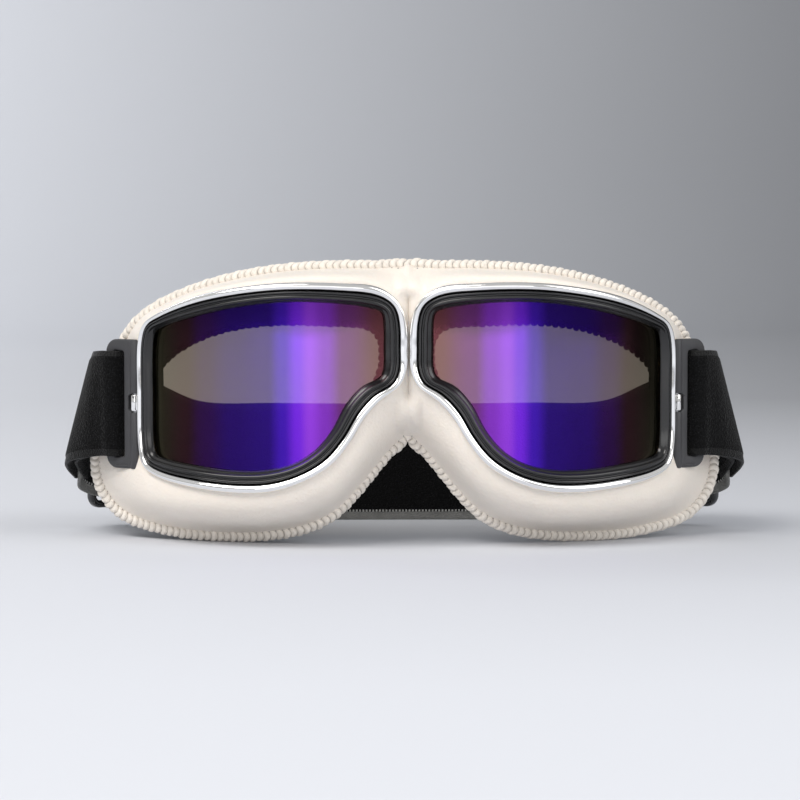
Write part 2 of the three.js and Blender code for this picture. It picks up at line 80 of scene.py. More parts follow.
# Round the right eye from the top of the nose outwards, in millimetres: rim and window as
# [arc length from the nose, height], then the stitched seam and the opening as [x, height].
STATIONS = np.array([
    [1.7, 71.4, 6.6, 68.4, 0, 83.2, 8.2, 62.2],
    [8.2, 75.9, 9.5, 69.6, 9, 83.4, 12, 64.4],
    [20, 77.1, 20, 71.1, 21, 83.4, 22, 64.8],
    [36, 77.2, 36, 71.5, 37, 82.3, 36, 65.2],
    [50, 75.8, 49.6, 70.2, 50.3, 80, 49, 64],
    [64.5, 73, 64, 67.5, 64, 75.9, 60, 61],
    [79.5, 67.8, 78.6, 63.9, 76, 70.2, 68.5, 56.5],
    [86.3, 64.4, 82.6, 62.3, 83, 64.2, 73.5, 52.6],
    [89.2, 58.5, 83.9, 58.5, 87.5, 56, 76.2, 47.4],
    [89.4, 44, 84.1, 44, 92, 42, 78, 40],
    [89, 29, 83.8, 29.8, 95.2, 27, 78, 33],
    [86.8, 22.8, 82.6, 26.4, 93.8, 14.5, 76, 26],
    [80, 19.8, 78.4, 25.2, 86.5, 5.6, 70.5, 21],
    [64.5, 17.3, 64.5, 23.6, 70, 0.9, 61, 17.5],
    [50, 16.3, 50.5, 22.7, 52, 0, 50.5, 16.5],
    [39.4, 17, 41.5, 23.1, 39.5, 0.8, 41, 17.5],
    [30, 20, 33.5, 25, 29.5, 2.9, 33, 20],
    [22, 24.8, 26.8, 29, 21.2, 6.9, 27, 24.5],
    [16.4, 31.5, 21.6, 35, 15.1, 12.7, 22.5, 30],
    [12, 38.4, 17.6, 42.2, 9.6, 19.4, 18.5, 36],
    [6.6, 43.8, 12.3, 47.6, 4.2, 26, 14, 41.4],
    [1.7, 46.9, 7, 49.8, 0, 29.6, 9.2, 45.4],
    [-0.6, 51.5, 5.9, 53, 0, 42, 7.4, 49.4],
    [-0.75, 58, 5.9, 58.5, 0, 56, 6.8, 54],
    [-0.6, 64.5, 5.9, 64.5, 0, 70, 7, 58.6],
])
NOTCH = 21 / len(STATIONS)  # share of the way round at which the seam reaches the nose notch
AROUND = 400

# The leather's height line over the nose, on the middle plane: [height, depth], millimetres.
NOSE_LINE = np.array([
    [32.3, 18], [33.8, 13], [36.4, 9.6], [40, 7.4], [44, 6.8], [47, 8.6], [50, 12],
    [54, 15], [60, 15.4], [66, 13.6], [70, 9.6], [73, 6.6], [76, 6.2], [79.5, 9.6], [82, 18],
])
HEM = 3.3 * MM  # the leather ends this far inside the outer seam, under the stitches


# ------------------------------------------------------------------ curves, as whole arrays


def spline(rows, share, closed=False):
    """A centripetal Catmull-Rom curve through the rows, at each share of the way along.

    Between two rows it is the cubic whose end slopes come from the neighbouring rows, each gap
    weighted by the square root of its length. An open curve's ends lead in from mirrored rows.
    """
    rows = np.asarray(rows, float)
    n = len(rows)
    place = np.asarray(share) * (n if closed else n - 1)
    first = np.floor(place).astype(int)
    if not closed:
        first = np.clip(first, 0, n - 2)
        rows = np.vstack([2 * rows[0] - rows[1], rows, 2 * rows[-1] - rows[-2]])
        knots = [rows[first + k] for k in range(4)]
    else:
        knots = [rows[(first + k - 1) % n] for k in range(4)]
    w = (place - first)[:, None]
    gaps = [np.sqrt(np.linalg.norm(knots[k + 1] - knots[k], axis=1))[:, None] for k in range(3)]
    d0, d1, d2 = [np.maximum(g, 1e-4) for g in gaps]
    a, b, c, d = knots
    slope_b = ((b - a) / d0 - (c - a) / (d0 + d1) + (c - b) / d1) * d1
    slope_c = ((c - b) / d1 - (d - b) / (d1 + d2) + (d - c) / d2) * d1
    cubic = 2 * b - 2 * c + slope_b + slope_c
    square = -3 * b + 3 * c - 2 * slope_b - slope_c
    return cubic * w**3 + square * w**2 + slope_b * w + b


def softened(loop, reach):
    """A closed loop of rows averaged with its neighbours by a bell curve `reach` rows wide."""
    n = len(loop)
    away = np.minimum(np.arange(n), n - np.arange(n))
    bell = np.exp(-0.5 * (away / reach) ** 2)
    bell = np.fft.fft(bell / bell.sum())[:, None]
    return np.real(np.fft.ifft(np.fft.fft(loop, axis=0) * bell, axis=0))


def lengths(points):
    """The distance along the points at each of them."""
    step = np.linalg.norm(np.diff(points, axis=0), axis=1)
    return np.concatenate([[0], np.cumsum(step)])


def evenly(points, count, ends=True):
    """`count` points at equal distances along a line of points."""
    run = lengths(points)
    at = np.linspace(0, run[-1], count, endpoint=ends)
    return np.stack([np.interp(at, run, points[:, k]) for k in range(points.shape[1])], 1)


def unit(vectors):
    return vectors / np.maximum(np.linalg.norm(vectors, axis=-1, keepdims=True), 1e-12)


def stations(count=AROUND):
    """The four lines round the right eye at `count` places, evenly spread along the rim."""
    fine = np.linspace(0, 1, 4001)
    run = lengths(spline(STATIONS[:, :2], fine, True))
    share = np.interp(np.arange(count) / count * run[-1], run, fine)
    lines = [spline(STATIONS[:, k : k + 2], share, True) for k in (0, 2, 4, 6)]
    soft = [softened(line, count / 170) * MM for line in lines[:2]]
    seam, opening = lines[2] * MM, softened(lines[3], count / 60) * MM
    seam[:, 0] = np.where(share > NOTCH, 0, np.maximum(seam[:, 0], 0))
    return share, soft[0], soft[1], seam, opening


def on_eye(s, z, depth):
    """The point at arc length s round the eye's two-arc plan curve, sunk by depth from it."""
    radius = np.where(s > EYE_CENTRE, TEMPLE_RADIUS, NOSE_RADIUS)
    turn = (s - EYE_CENTRE) / radius
    x = EYE_CENTRE + (radius - depth) * np.sin(turn)
    y = FRONT + radius - (radius - depth) * np.cos(turn)
    return np.stack([x, y, z + 0 * x], -1)


def eye_point(rim, window, inset, depth):
    """Between the rim line (inset 0) and the window line (inset 1), at a depth."""
    at = rim + (window - rim) * inset
    return on_eye(at[..., 0], at[..., 1], depth)


def on_face(line, start):
    """The line laid on the brow's curve: depth = start + x squared over the face curve."""
    y = FRONT + start + line[:, 0] ** 2 / FACE_CURVE
    return np.stack([line[:, 0], y, line[:, 1]], -1)


def mirrored(points, side):
    return points * np.array([side, 1, 1])


# ------------------------------------------------------------------ meshes from grids


def mesh_piece(name, points, faces, uv=None, sharp=40):
    """A mesh object from whole arrays of corners and quads, smooth but for sharp edges."""
    mesh = bpy.data.meshes.new(name)
    mesh.from_pydata(points.reshape(-1, 3).tolist(), [], faces.tolist())
    if uv is not None:
        layer = mesh.uv_layers.new(name="surface")
        layer.data.foreach_set("uv", uv.astype(np.float32).ravel())
    mesh.shade_smooth()
    mesh.set_sharp_from_angle(angle=math.radians(sharp))
    piece = bpy.data.objects.new(name, mesh)
    bpy.context.scene.collection.objects.link(piece)
    return piece


def grid_faces(nu, nv, loop_u, loop_v):
    """Quads of a grid and, for each corner, its uncut grid place, so a seam keeps its UV."""
    u, v = np.meshgrid(
        np.arange(nu if loop_u else nu - 1), np.arange(nv if loop_v else nv - 1), indexing="ij"
    )
    corner_u = np.stack([u, u + 1, u + 1, u], -1).reshape(-1, 4)
    corner_v = np.stack([v, v, v + 1, v + 1], -1).reshape(-1, 4)
    return corner_u % nu * nv + corner_v % nv, corner_u, corner_v


def grid_piece(name, points, loop_u=False, loop_v=False, u_run=None, v_run=None, sharp=40):
    """A surface through a grid of points, turned to face outwards if it is closed both ways."""
    nu, nv = points.shape[:2]
    faces, corner_u, corner_v = grid_faces(nu, nv, loop_u, loop_v)
    u_run = np.arange(nu + 1) / nu if u_run is None else u_run
    v_run = np.arange(nv + 1) / nv if v_run is None else v_run
    uv = np.stack([u_run[corner_u], v_run[corner_v]], -1)
    flat = points.reshape(-1, 3)
    a, b, c = [flat[faces[:, k]] for k in (0, 1, 2)]
    d = flat[faces[:, 3]]
    middle = flat.mean(0)
    volume = np.sum((a - middle) * np.cross(b - middle, c - middle))
    volume += np.sum((a - middle) * np.cross(c - middle, d - middle))
    if volume < 0:
        faces, uv = faces[:, ::-1], uv[:, ::-1]
    return mesh_piece(name, points, faces, uv.reshape(-1, 2), sharp)


def capped(points):
    """A tube's grid with two more rows at each end that close it to its middle line."""
    first, last = points[:1].mean(1, keepdims=True), points[-1:].mean(1, keepdims=True)
    start = [first + (points[:1] - first) * k for k in (0.0, 0.5)]
    end = [last + (points[-1:] - last) * k for k in (0.5, 0.0)]
    return np.concatenate([*start, points, *end])


def closed_profile(rows, per_step):
    """A closed section through the rows, `per_step` points for each."""
    share = np.arange(len(rows) * per_step) / (len(rows) * per_step)
    return spline(rows, share, True)


def thickened(piece, thickness, offset=-1.0):
    solidify = piece.modifiers.new("wall", "SOLIDIFY")
    solidify.thickness = thickness
    solidify.offset = offset
    return piece


def dressed(piece, body, material, slot, *stands_for):
    """The piece rides on a body, wears a material, and stands for the CAD nodes named."""
    piece.data.materials.clear()
    piece.data.materials.append(material)
    if body is not None:
        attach(piece, body)
    if stands_for:
        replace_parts(piece, *stands_for)
    return piece


# ------------------------------------------------------------------ materials


class Finish:
    """A node material: a Principled shader and short calls that add nodes in front of it."""

    def __init__(self, name, colour, roughness, **sockets):
        self.material = bpy.data.materials.new(name)
        self.material.use_nodes = True
        self.tree = self.material.node_tree
        self.shader = self.tree.nodes["Principled BSDF"]
        self.shader.inputs["Base Color"].default_value = (*colour, 1)
        self.shader.inputs["Roughness"].default_value = roughness
        for socket, value in sockets.items():
            self.shader.inputs[socket.replace("_", " ")].default_value = value
        self.bump = None

    def node(self, kind, **settings):
        made = self.tree.nodes.new(kind)
        for key, value in settings.items():
            if key in made.inputs:
                made.inputs[key].default_value = value
            else:
                setattr(made, key, value)
        return made

    def wire(self, source, target):
        self.tree.links.new(source, target)

    def place(self):
        return self.node("ShaderNodeTexCoord").outputs["Object"]

    def along(self):
        """The piece's own surface map as two numbers."""
        split = self.node("ShaderNodeSeparateXYZ")
        self.wire(self.node("ShaderNodeTexCoord").outputs["UV"], split.inputs[0])
        return split.outputs["X"], split.outputs["Y"]

    def noise(self, scale, detail=4.0, vector=None):
        made = self.node("ShaderNodeTexNoise", Scale=scale, Detail=detail)
        self.wire(vector or self.place(), made.inputs["Vector"])
        return made.outputs["Fac"]

    def cells(self, scale, feature="F1", vector=None):
        made = self.node("ShaderNodeTexVoronoi", Scale=scale, feature=feature)
        self.wire(vector or self.place(), made.inputs["Vector"])
        return made.outputs["Distance"]

    def maths(self, operation, a, b=0.0, c=0.0):
        made = self.node("ShaderNodeMath", operation=operation)
        for k, value in enumerate((a, b, c)):
            if isinstance(value, (int, float)):
                made.inputs[k].default_value = value
            else:
                self.wire(value, made.inputs[k])
        return made.outputs[0]

    def ramp(self, source, stops, smooth="LINEAR"):
        made = self.node("ShaderNodeValToRGB")
        band = made.color_ramp
        band.interpolation = smooth
        while len(band.elements) < len(stops):
            band.elements.new(0.5)
        for element, (at, colour) in zip(band.elements, stops):
            element.position = at
            element.color = (*colour, 1) if len(colour) == 3 else colour
        self.wire(source, made.inputs["Fac"])
        return made.outputs["Color"]

    def mixed(self, share, a, b):
        made = self.node("ShaderNodeMix", data_type="RGBA")
        for value, index in ((share, 0), (a, 6), (b, 7)):
            if isinstance(value, (int, float)):
                made.inputs[index].default_value = value
            elif isinstance(value, tuple):
                made.inputs[index].default_value = (*value, 1)
            else:
                self.wire(value, made.inputs[index])
        return made.outputs[2]

    def raised(self, height, distance, strength=1.0):
        """Adds a height to the bump, on top of any before it."""
        made = self.node("ShaderNodeBump", Distance=distance, Strength=strength)
        self.wire(height, made.inputs["Height"])
        if self.bump is not None:
            self.wire(self.bump, made.inputs["Normal"])
        self.bump = made.outputs["Normal"]
        self.wire(self.bump, self.shader.inputs["Normal"])

    def colour(self, source):
        self.wire(source, self.shader.inputs["Base Color"])

    def roughness(self, source, low, high):
        made = self.node("ShaderNodeMapRange")
        made.inputs["To Min"].default_value = low
        made.inputs["To Max"].default_value = high
        self.wire(source, made.inputs["Value"])
        self.wire(made.outputs["Result"], self.shader.inputs["Roughness"])


def darker(colour, share):
    return tuple(c * share for c in colour)


def leather_finish(colour, pitch):
    """Soft nappa: fine pebbled grain, faint creases, a row of needle holes at the seam, and painted
    shade where the skin tucks in under the stitches.
    """
    f = Finish("cream_nappa", colour, 0.48, Sheen_Weight=0.12, Sheen_Roughness=0.5)
    f.shader.inputs["Subsurface Weight"].default_value = 0.08
    f.shader.inputs["Subsurface Radius"].default_value = (0.004, 0.0025, 0.0015)
    f.shader.inputs["Coat Weight"].default_value = 0.06
    f.shader.inputs["Coat Roughness"].default_value = 0.35
    pebbles = f.cells(1500, "SMOOTH_F1")
    fine = f.noise(5200, 6.0)
    cloud = f.noise(55, 3.0)
    crease = f.noise(260, 5.0)
    f.raised(crease, 0.00045, 0.35)
    f.raised(pebbles, 0.00022, 0.5)
    f.raised(fine, 0.00008, 0.5)
    tone = f.ramp(cloud, [(0.3, darker(colour, 0.93)), (0.7, colour)])
    u, v = f.along()
    beat = f.maths("FRACT", f.maths("DIVIDE", u, pitch))
    off_u = f.maths("MULTIPLY", f.maths("SUBTRACT", beat, 0.5), pitch)
    off_v = f.maths("SUBTRACT", v, 1.0 * MM)
    square = f.maths("ADD", f.maths("POWER", off_u, 2.0), f.maths("POWER", off_v, 2.0))
    hole = f.maths("LESS_THAN", square, (0.22 * MM) ** 2)
    # Painted shade: within about 1.6 mm of the seam the skin is darkened to 0.78 of its colour,
    # where it tucks under the stitches.
    painted_seam_shade = f.maths("SMOOTH_MIN", f.maths("DIVIDE", v, 1.6 * MM), 1.0, 0.2)
    shaded = f.mixed(painted_seam_shade, darker(colour, 0.78), tone)
    f.colour(f.mixed(hole, shaded, darker(colour, 0.22)))
    f.roughness(pebbles, 0.42, 0.6)
    return f.material


STITCH_SLANT = 0.6  # how far, in stitches, a groove moves along the seam from side to side


def thread_finish(colour):
    """Thick waxed thread: plies twisted along each stitch, and painted shade in the groove between
    two.
    """
    f = Finish("cream_stitching", colour, 0.62, Sheen_Weight=0.25, Sheen_Roughness=0.4)
    plies = f.node("ShaderNodeTexWave", Scale=900.0, Distortion=3.0, Detail=2.0)
    plies.bands_direction = "DIAGONAL"
    f.wire(f.place(), plies.inputs["Vector"])
    fuzz = f.noise(4200, 5.0)
    f.raised(plies.outputs["Fac"], 0.00012, 0.45)
    f.raised(fuzz, 0.0001, 0.5)
    tone = f.ramp(f.noise(700, 4.0), [(0.3, darker(colour, 0.84)), (0.65, colour)])
    stitch, turn = f.along()
    lean = f.maths("SINE", f.maths("MULTIPLY", turn, 2 * math.pi))
    phase = f.maths("MULTIPLY_ADD", lean, STITCH_SLANT, stitch)
    crest = f.maths("ABSOLUTE", f.maths("SINE", f.maths("MULTIPLY", phase, math.pi)))
    # Painted shade: the thread is darkened to 0.58 of its colour in the groove between two
    # stitches.
    groove_shade = f.maths("SUBTRACT", 1.0, f.maths("MINIMUM", f.maths("MULTIPLY", crest, 3.0), 1.0))
    f.colour(f.mixed(groove_shade, tone, darker(colour, 0.58)))
    return f.material


def plush_finish(name, colour, nap):
    """Looped pile that swallows light, with painted shade between the tufts and paler flecks as
    painted highlights where a loop catches the light.
    """
    f = Finish(name, colour, 0.96, Sheen_Weight=0.1, Sheen_Roughness=0.4)
    f.shader.inputs["Specular IOR Level"].default_value = 0.1
    tufts = f.cells(1900)
    f.raised(tufts, nap, 0.9)
    f.raised(f.noise(4600, 3.0), nap * 0.4, 0.8)
    f.colour(pile_shade_and_glints(f, colour, tufts))
    return f


def pile_shade_and_glints(f, colour, tufts):
    """Painted shade between the tufts, the pile's colour on them, and a few pale flecks that are
    painted highlights.
    """
    # Painted shade: 0.45 of the colour between the tufts and 1.5 on them; painted highlights: pale
    # flecks at five times the colour.
    pile = f.ramp(tufts, [(0.1, darker(colour, 1.5)), (0.55, darker(colour, 0.45))])
    glint_fleck = f.ramp(f.noise(3400, 2.0), [(0.66, (0, 0, 0)), (0.74, (1, 1, 1))])
    return f.mixed(glint_fleck, pile, darker(colour, 5.0))


def strap_finish(name, colour, selvage, hem, loops):
    """Plush elastic, its pile in painted shade and highlights, with a ribbed satin selvage and a
    lower hem in the `hem` colour; `loops` adds a row of them over the lower hem.

    The surface map's second number runs from -1 at the lower edge to 1 at the upper one.
    """
    f = plush_finish(name, colour, 0.0003)
    tufts = f.cells(1900)
    along, across = f.along()
    upper = f.maths("GREATER_THAN", across, 0.9)
    lower = f.maths("LESS_THAN", across, -0.86)
    rib = f.maths("SINE", f.maths("MULTIPLY", along, 2 * math.pi / (0.9 * MM)))
    ribbed = f.maths("MULTIPLY_ADD", rib, 0.5, 0.5)
    satin = f.ramp(ribbed, [(0.1, darker(selvage, 0.7)), (0.9, selvage)])
    # The lower hem's colour is mottled by noise. On the back run the hem colour is grey, a painted
    # sheen of the overhead light on black satin, and its row of loops is painted lighter still.
    shine = f.ramp(f.noise(240, 3.0), [(0.35, darker(hem, 0.8)), (0.65, hem)])
    plain = f.mixed(upper, pile_shade_and_glints(f, colour, tufts), satin)
    banded = f.mixed(lower, plain, shine)
    if loops:
        beat = f.maths("FRACT", f.maths("DIVIDE", along, 1.05 * MM))
        row = f.maths("LESS_THAN", f.maths("ABSOLUTE", f.maths("ADD", across, 0.84)), 0.018)
        loop = f.maths("MULTIPLY", f.maths("GREATER_THAN", beat, 0.45), row)
        banded = f.mixed(loop, banded, darker(hem, 1.6))
    f.colour(banded)
    f.roughness(f.maths("MAXIMUM", upper, lower), 0.96, 0.42)
    return f.material


def chrome_finish():
    f = Finish("polished_chrome", (0.93, 0.925, 0.92), 0.05, Metallic=1.0)
    f.raised(f.noise(120, 2.0), 0.00006, 0.15)
    f.roughness(f.noise(700, 5.0), 0.03, 0.09)
    return f.material


def steel_finish():
    f = Finish("plain_steel", (0.5, 0.5, 0.52), 0.3, Metallic=1.0)
    f.raised(f.noise(3000, 4.0), 0.00003, 0.4)
    f.roughness(f.noise(900, 4.0), 0.24, 0.42)
    return f.material


def moulded_finish(name, colour, roughness, texture, coat=0.0):
    """Moulded plastic or rubber with a fine spark-eroded texture and slight tone changes."""
    f = Finish(name, colour, roughness, Coat_Weight=coat, Coat_Roughness=0.08)
    f.raised(f.noise(5200, 4.0), texture, 0.5)
    f.colour(f.ramp(f.noise(160, 3.0), [(0.3, darker(colour, 0.82)), (0.7, colour)]))
    f.roughness(f.noise(420, 5.0), roughness * 0.8, roughness * 1.25)
    return f.material


# The coating's hue by distance from the middle plane, with painted reflection: the bright violet
# band near a third of the way out stands for the front softbox's reflection, and the dark hues
# towards the temples for the darker surroundings reflected there.
LENS_HUES_WITH_PAINTED_REFLECTION = [  # distance from the middle plane as a share of LENS_HALF, and the mirror's colour
    (0.10, (0.20, 0.06, 0.07)), (0.22, (0.21, 0.045, 0.24)), (0.28, (0.32, 0.05, 0.70)),
    (0.335, (0.42, 0.07, 1.0)), (0.375, (0.25, 0.03, 1.0)), (0.425, (0.075, 0.012, 0.58)),
    (0.48, (0.03, 0.005, 0.23)), (0.60, (0.026, 0.004, 0.17)), (0.69, (0.034, 0.005, 0.08)),
    (0.76, (0.034, 0.009, 0.014)), (0.86, (0.022, 0.02, 0.007)),
]
LENS_HALF = 85 * MM
SMOKE_TINT = (1.0, 0.86, 0.64, 1)


def lens_finish(clear):
    """Smoke tint under a mirror coat whose hue runs from violet to blue, brown and olive; its
    bright violet band is a painted reflection of the front softbox, and its darkening towards the
    temples is painted shade of the reflection.
    """
    f = Finish("violet_mirror_lens", LENS_HUES_WITH_PAINTED_REFLECTION[0][1], 0.035, Metallic=1.0)
    f.shader.inputs["Coat Weight"].default_value = 0.08
    f.shader.inputs["Coat Roughness"].default_value = 0.02
    split = f.node("ShaderNodeSeparateXYZ")
    f.wire(f.place(), split.inputs[0])
    across = f.maths("DIVIDE", f.maths("ABSOLUTE", split.outputs["X"]), LENS_HALF)
    drift = f.maths("MULTIPLY_ADD", f.noise(18, 1.0), 0.008, across)
    at = f.maths("SUBTRACT", drift, 0.004)
    f.colour(f.ramp(at, LENS_HUES_WITH_PAINTED_REFLECTION, "EASE"))
    see = f.node("ShaderNodeBsdfTransparent")
    see.inputs["Color"].default_value = SMOKE_TINT
    mix = f.node("ShaderNodeMixShader")
    mix.inputs["Fac"].default_value = clear
    f.wire(f.shader.outputs["BSDF"], mix.inputs[1])
    f.wire(see.outputs["BSDF"], mix.inputs[2])
    f.wire(mix.outputs[0], f.tree.nodes["Material Output"].inputs["Surface"])
    return f.material


def inner_face_finish():
    """The lens's plain inner face, which adds nothing to the light that its mirror lets by."""
    f = Finish("lens_inner_face", (1, 1, 1), 0.05)
    see = f.node("ShaderNodeBsdfTransparent")
    f.wire(see.outputs["BSDF"], f.tree.nodes["Material Output"].inputs["Surface"])
    return f.material


def material(name):
    return bpy.data.materials[name]


# ------------------------------------------------------------------ properties


class GogglesColours(bpy.types.PropertyGroup):
    """The colours of the pieces."""

    def tint(name, words, value):
        return bpy.props.FloatVectorProperty(
            name=name, description=words, subtype="COLOR", size=3, min=0, max=1, default=value
        )

    leather: tint("Leather", "Colour of the leather cover", (0.83, 0.765, 0.69))
    thread: tint("Thread", "Colour of the whipstitching", (0.86, 0.80, 0.725))
    lining: tint("Lining", "Colour of the brushed lining", (0.008, 0.008, 0.009))
    elastic: tint("Elastic", "Colour of the plush strap", (0.0065, 0.0065, 0.007))
    selvage: tint("Selvage", "Colour of the strap's satin edges", (0.016, 0.016, 0.016))
    hem: tint("Hem", "Colour of the satin hem under the back run", (0.23, 0.23, 0.22))
    # The hem's grey is a painted sheen: the overhead light on the black satin hem under the back
    # run.
    plate: tint("Outrigger", "Colour of the strap plates", (0.048, 0.048, 0.052))
    gasket: tint("Gasket", "Colour of the rubber round the lenses", (0.009, 0.009, 0.010))
    slider: tint("Slider", "Colour of the strap sliders", (0.008, 0.008, 0.009))
    floor: tint("Floor", "Colour of the floor and backdrop", (0.66, 0.68, 0.73))


class GogglesSizes(bpy.types.PropertyGroup):
    """The sizes that a user would change, in metres."""

    def length(name, words, value):
        return bpy.props.FloatProperty(
            name=name, description=words, unit="LENGTH", subtype="DISTANCE", default=value
        )

    puff: length("Puff", "How far the leather swells between rim and seam", 2.6 * MM)
    pitch: length("Stitch pitch", "Distance from one edge stitch to the next", 2.05 * MM)
    rope: length("Stitch height", "Half of the width of the stitched band", 1.8 * MM)
    nap: length("Nap", "Thickness of the strap", 2.0 * MM)
    clear: bpy.props.FloatProperty(
        name="Clearness", description="Share of light through a lens", subtype="FACTOR",
        min=0, max=1, default=0.29,
    )


# ------------------------------------------------------------------ rings round the eyes

RIM_SECTION = [
    (0.0, 1.5), (0.03, 0.75), (0.11, 0.15), (0.21, -0.02), (0.31, 0.2),
    (0.385, 0.75), (0.405, 1.6), (0.405, 3.0), (0.2, 3.02), (0.0, 3.0),
]
GASKET_SECTION = [
    (0.45, 1.5), (0.455, 0.7), (0.5, 0.4), (0.56, 0.5), (0.6, 0.95), (0.645, 0.95),
    (0.68, 0.45), (0.75, 0.32), (0.81, 0.5), (0.86, 1.1), (0.95, 1.7), (1.0, 2.3),
    (0.99, 2.75), (0.85, 2.8), (0.68, 2.85), (0.66, 4.0), (0.64, 5.15), (0.5, 5.2), (0.46, 4.6),
]
FRAME_SECTION = [
    (0.16, 3.35), (0.38, 3.35), (0.4, 3.6), (0.41, 5.4), (0.44, 5.6), (0.78, 5.6), (0.82, 5.9),
    (0.82, 6.5), (0.78, 6.8), (0.46, 6.8), (0.41, 7.1), (0.4, 11.6), (0.36, 12.0),
    (0.2, 12.0), (0.16, 11.6),
]
FLANGE_BACK = 6.9 * MM
FRAME_BACK = (12 * MM, 7.8 * MM)  # at the nose and at the temple


def frame_back(rim):
    """The depth of the carrier's back edge: a straight fall with arc length to the temple."""
    share = np.clip((rim[:, 0] - 35 * MM) / (45 * MM), 0, 1)
    return FRAME_BACK[0] + (FRAME_BACK[1] - FRAME_BACK[0]) * share


def eye_ring(name, side, section, per_step, sharp):
    """A closed section of [inset, depth in mm] carried round the eye's rim line.

    What lies deeper than the lens flange is drawn in to the carrier's back edge at each place.
    """
    _, rim, window, _, _ = stations()
    profile = closed_profile(section, per_step)
    inset, depth = profile[None, :, 0, None], profile[None, :, 1] * MM
    past = np.maximum(depth - FLANGE_BACK, 0) / (FRAME_BACK[0] - FLANGE_BACK)
    depth = np.minimum(depth, FLANGE_BACK) + past * (frame_back(rim)[:, None] - FLANGE_BACK)
    at = rim[:, None] + (window - rim)[:, None] * inset
    points = on_eye(at[..., 0], at[..., 1], depth)
    return grid_piece(name, mirrored(points, side), True, True, sharp=sharp)


class GOGGLES_OT_chrome_rims(bpy.types.Operator):
    """Polished rims: a rounded bead whose back is flat on the eye frame"""

    bl_idname = "goggles.chrome_rims"
    bl_label = "Chrome Rims"

    def execute(self, context):
        chrome_finish()
        for side, sign in SIDES.items():
            piece = eye_ring(f"rim_{side}", sign, RIM_SECTION, 4, 50)
            node = f"chrome_rim_{side}"
            dressed(piece, HALVES[side], material("polished_chrome"), "chrome", node)
        return {"FINISHED"}


class GOGGLES_OT_gaskets(bpy.types.Operator):
    """Ribbed rubber gaskets, with two ridges and a slope down to the lens"""

    bl_idname = "goggles.gaskets"
    bl_label = "Lens Gaskets"

    def execute(self, context):
        colour = tuple(context.scene.goggles_colours.gasket)
        rubber = moulded_finish("gasket_rubber", colour, 0.2, 0.00002, 0.2)
        for side, sign in SIDES.items():
            piece = eye_ring(f"gasket_{side}", sign, GASKET_SECTION, 3, 60)
            node = f"lens_gasket_{side}"
            dressed(piece, HALVES[side], rubber, "gasket_rubber", node)
        return {"FINISHED"}


class GOGGLES_OT_eye_frames(bpy.types.Operator):
    """Moulded carriers behind the rims, with the flange that holds each lens"""

    bl_idname = "goggles.eye_frames"
    bl_label = "Eye Frames"

    def execute(self, context):
        black = moulded_finish("frame_plastic", (0.012, 0.012, 0.013), 0.42, 0.00004)
        for side, sign in SIDES.items():
            piece = eye_ring(f"carrier_{side}", sign, FRAME_SECTION, 2, 40)
            dressed(piece, HALVES[side], black, "frame_plastic", f"eye_frame_{side}")
        return {"FINISHED"}


class GOGGLES_OT_lenses(bpy.types.Operator):
    """Curved mirror lenses: the eye's plan curve swept between the gasket's groove lines"""

    bl_idname = "goggles.lenses"
    bl_label = "Lenses"
    columns = 120
    rows = 40
    held_inset = 0.74
    front = 3.12 * MM
    thickness = 1.75 * MM

    def execute(self, context):
        sizes = context.scene.goggles_sizes
        tint = lens_finish(sizes.clear)
        plain = inner_face_finish()
        _, rim, window, _, _ = stations()
        line = rim + (window - rim) * self.held_inset
        first, last = int(line[:, 0].argmin()), int(line[:, 0].argmax())
        turned = np.roll(line, -first, 0)
        split = (last - first) % len(line)
        top, bottom = turned[: split + 1], turned[split:][::-1]
        spread = (1 - np.cos(np.linspace(0, math.pi, self.columns))) / 2
        edge = 0.2 * MM
        s = line[first, 0] + edge + (line[last, 0] - line[first, 0] - 2 * edge) * spread
        high = np.interp(s, np.maximum.accumulate(top[:, 0]), top[:, 1])
        low = np.interp(s, np.maximum.accumulate(bottom[:, 0]), bottom[:, 1])
        rise = np.linspace(0, 1, self.rows)[None]
        z = low[:, None] + (high - low)[:, None] * rise
        front = on_eye(s[:, None] + 0 * z, z, self.front)
        back = on_eye(s[:, None] + 0 * z, z, self.front + self.thickness)
        for side, sign in SIDES.items():
            loop = np.concatenate([front, back[:, ::-1]], 1)
            ends = [loop[:1].copy(), loop[-1:].copy()]
            for end in ends:
                half = self.rows
                middle = (end[:, :half] + end[:, half:][:, ::-1]) / 2
                end[:, :half], end[:, half:] = middle, middle[:, ::-1]
            points = np.concatenate([ends[0], loop, ends[1]])
            piece = grid_piece(f"mirror_lens_{side}", mirrored(points, sign), False, True)
            dressed(piece, HALVES[side], tint, "mirror_lens", f"lens_{side}")
            piece.data.materials.append(plain)
            behind = np.tile(np.arange(2 * self.rows) >= self.rows, len(points) - 1)
            piece.data.polygons.foreach_set("material_index", behind.astype(np.int32))
        return {"FINISHED"}


# ------------------------------------------------------------------ the padded surround


def both_sides(points, shared):
    """A right-hand grid, closed round the eye, and its mirror, welded where `shared` is true.

    Returns the corners, the quads and each quad corner's place in the right-hand grid.
    """
    nu, nv = points.shape[:2]
    faces, corner_u, corner_v = grid_faces(nu, nv, True, False)
    count = nu * nv
    twin = np.arange(count) + count
    flat = shared.ravel()
    twin[flat] = np.arange(count)[flat]
    left = twin[faces][:, ::-1]
    corners = np.concatenate([points.reshape(-1, 3), mirrored(points, -1).reshape(-1, 3)])
    used = np.ones(2 * count, bool)
    used[count:][flat] = False
    number = np.cumsum(used) - 1
    quads = number[np.concatenate([faces, left])]
    places = [np.concatenate([c, c[:, ::-1]]) for c in (corner_u, corner_v)]
    return corners[used], quads, places, number


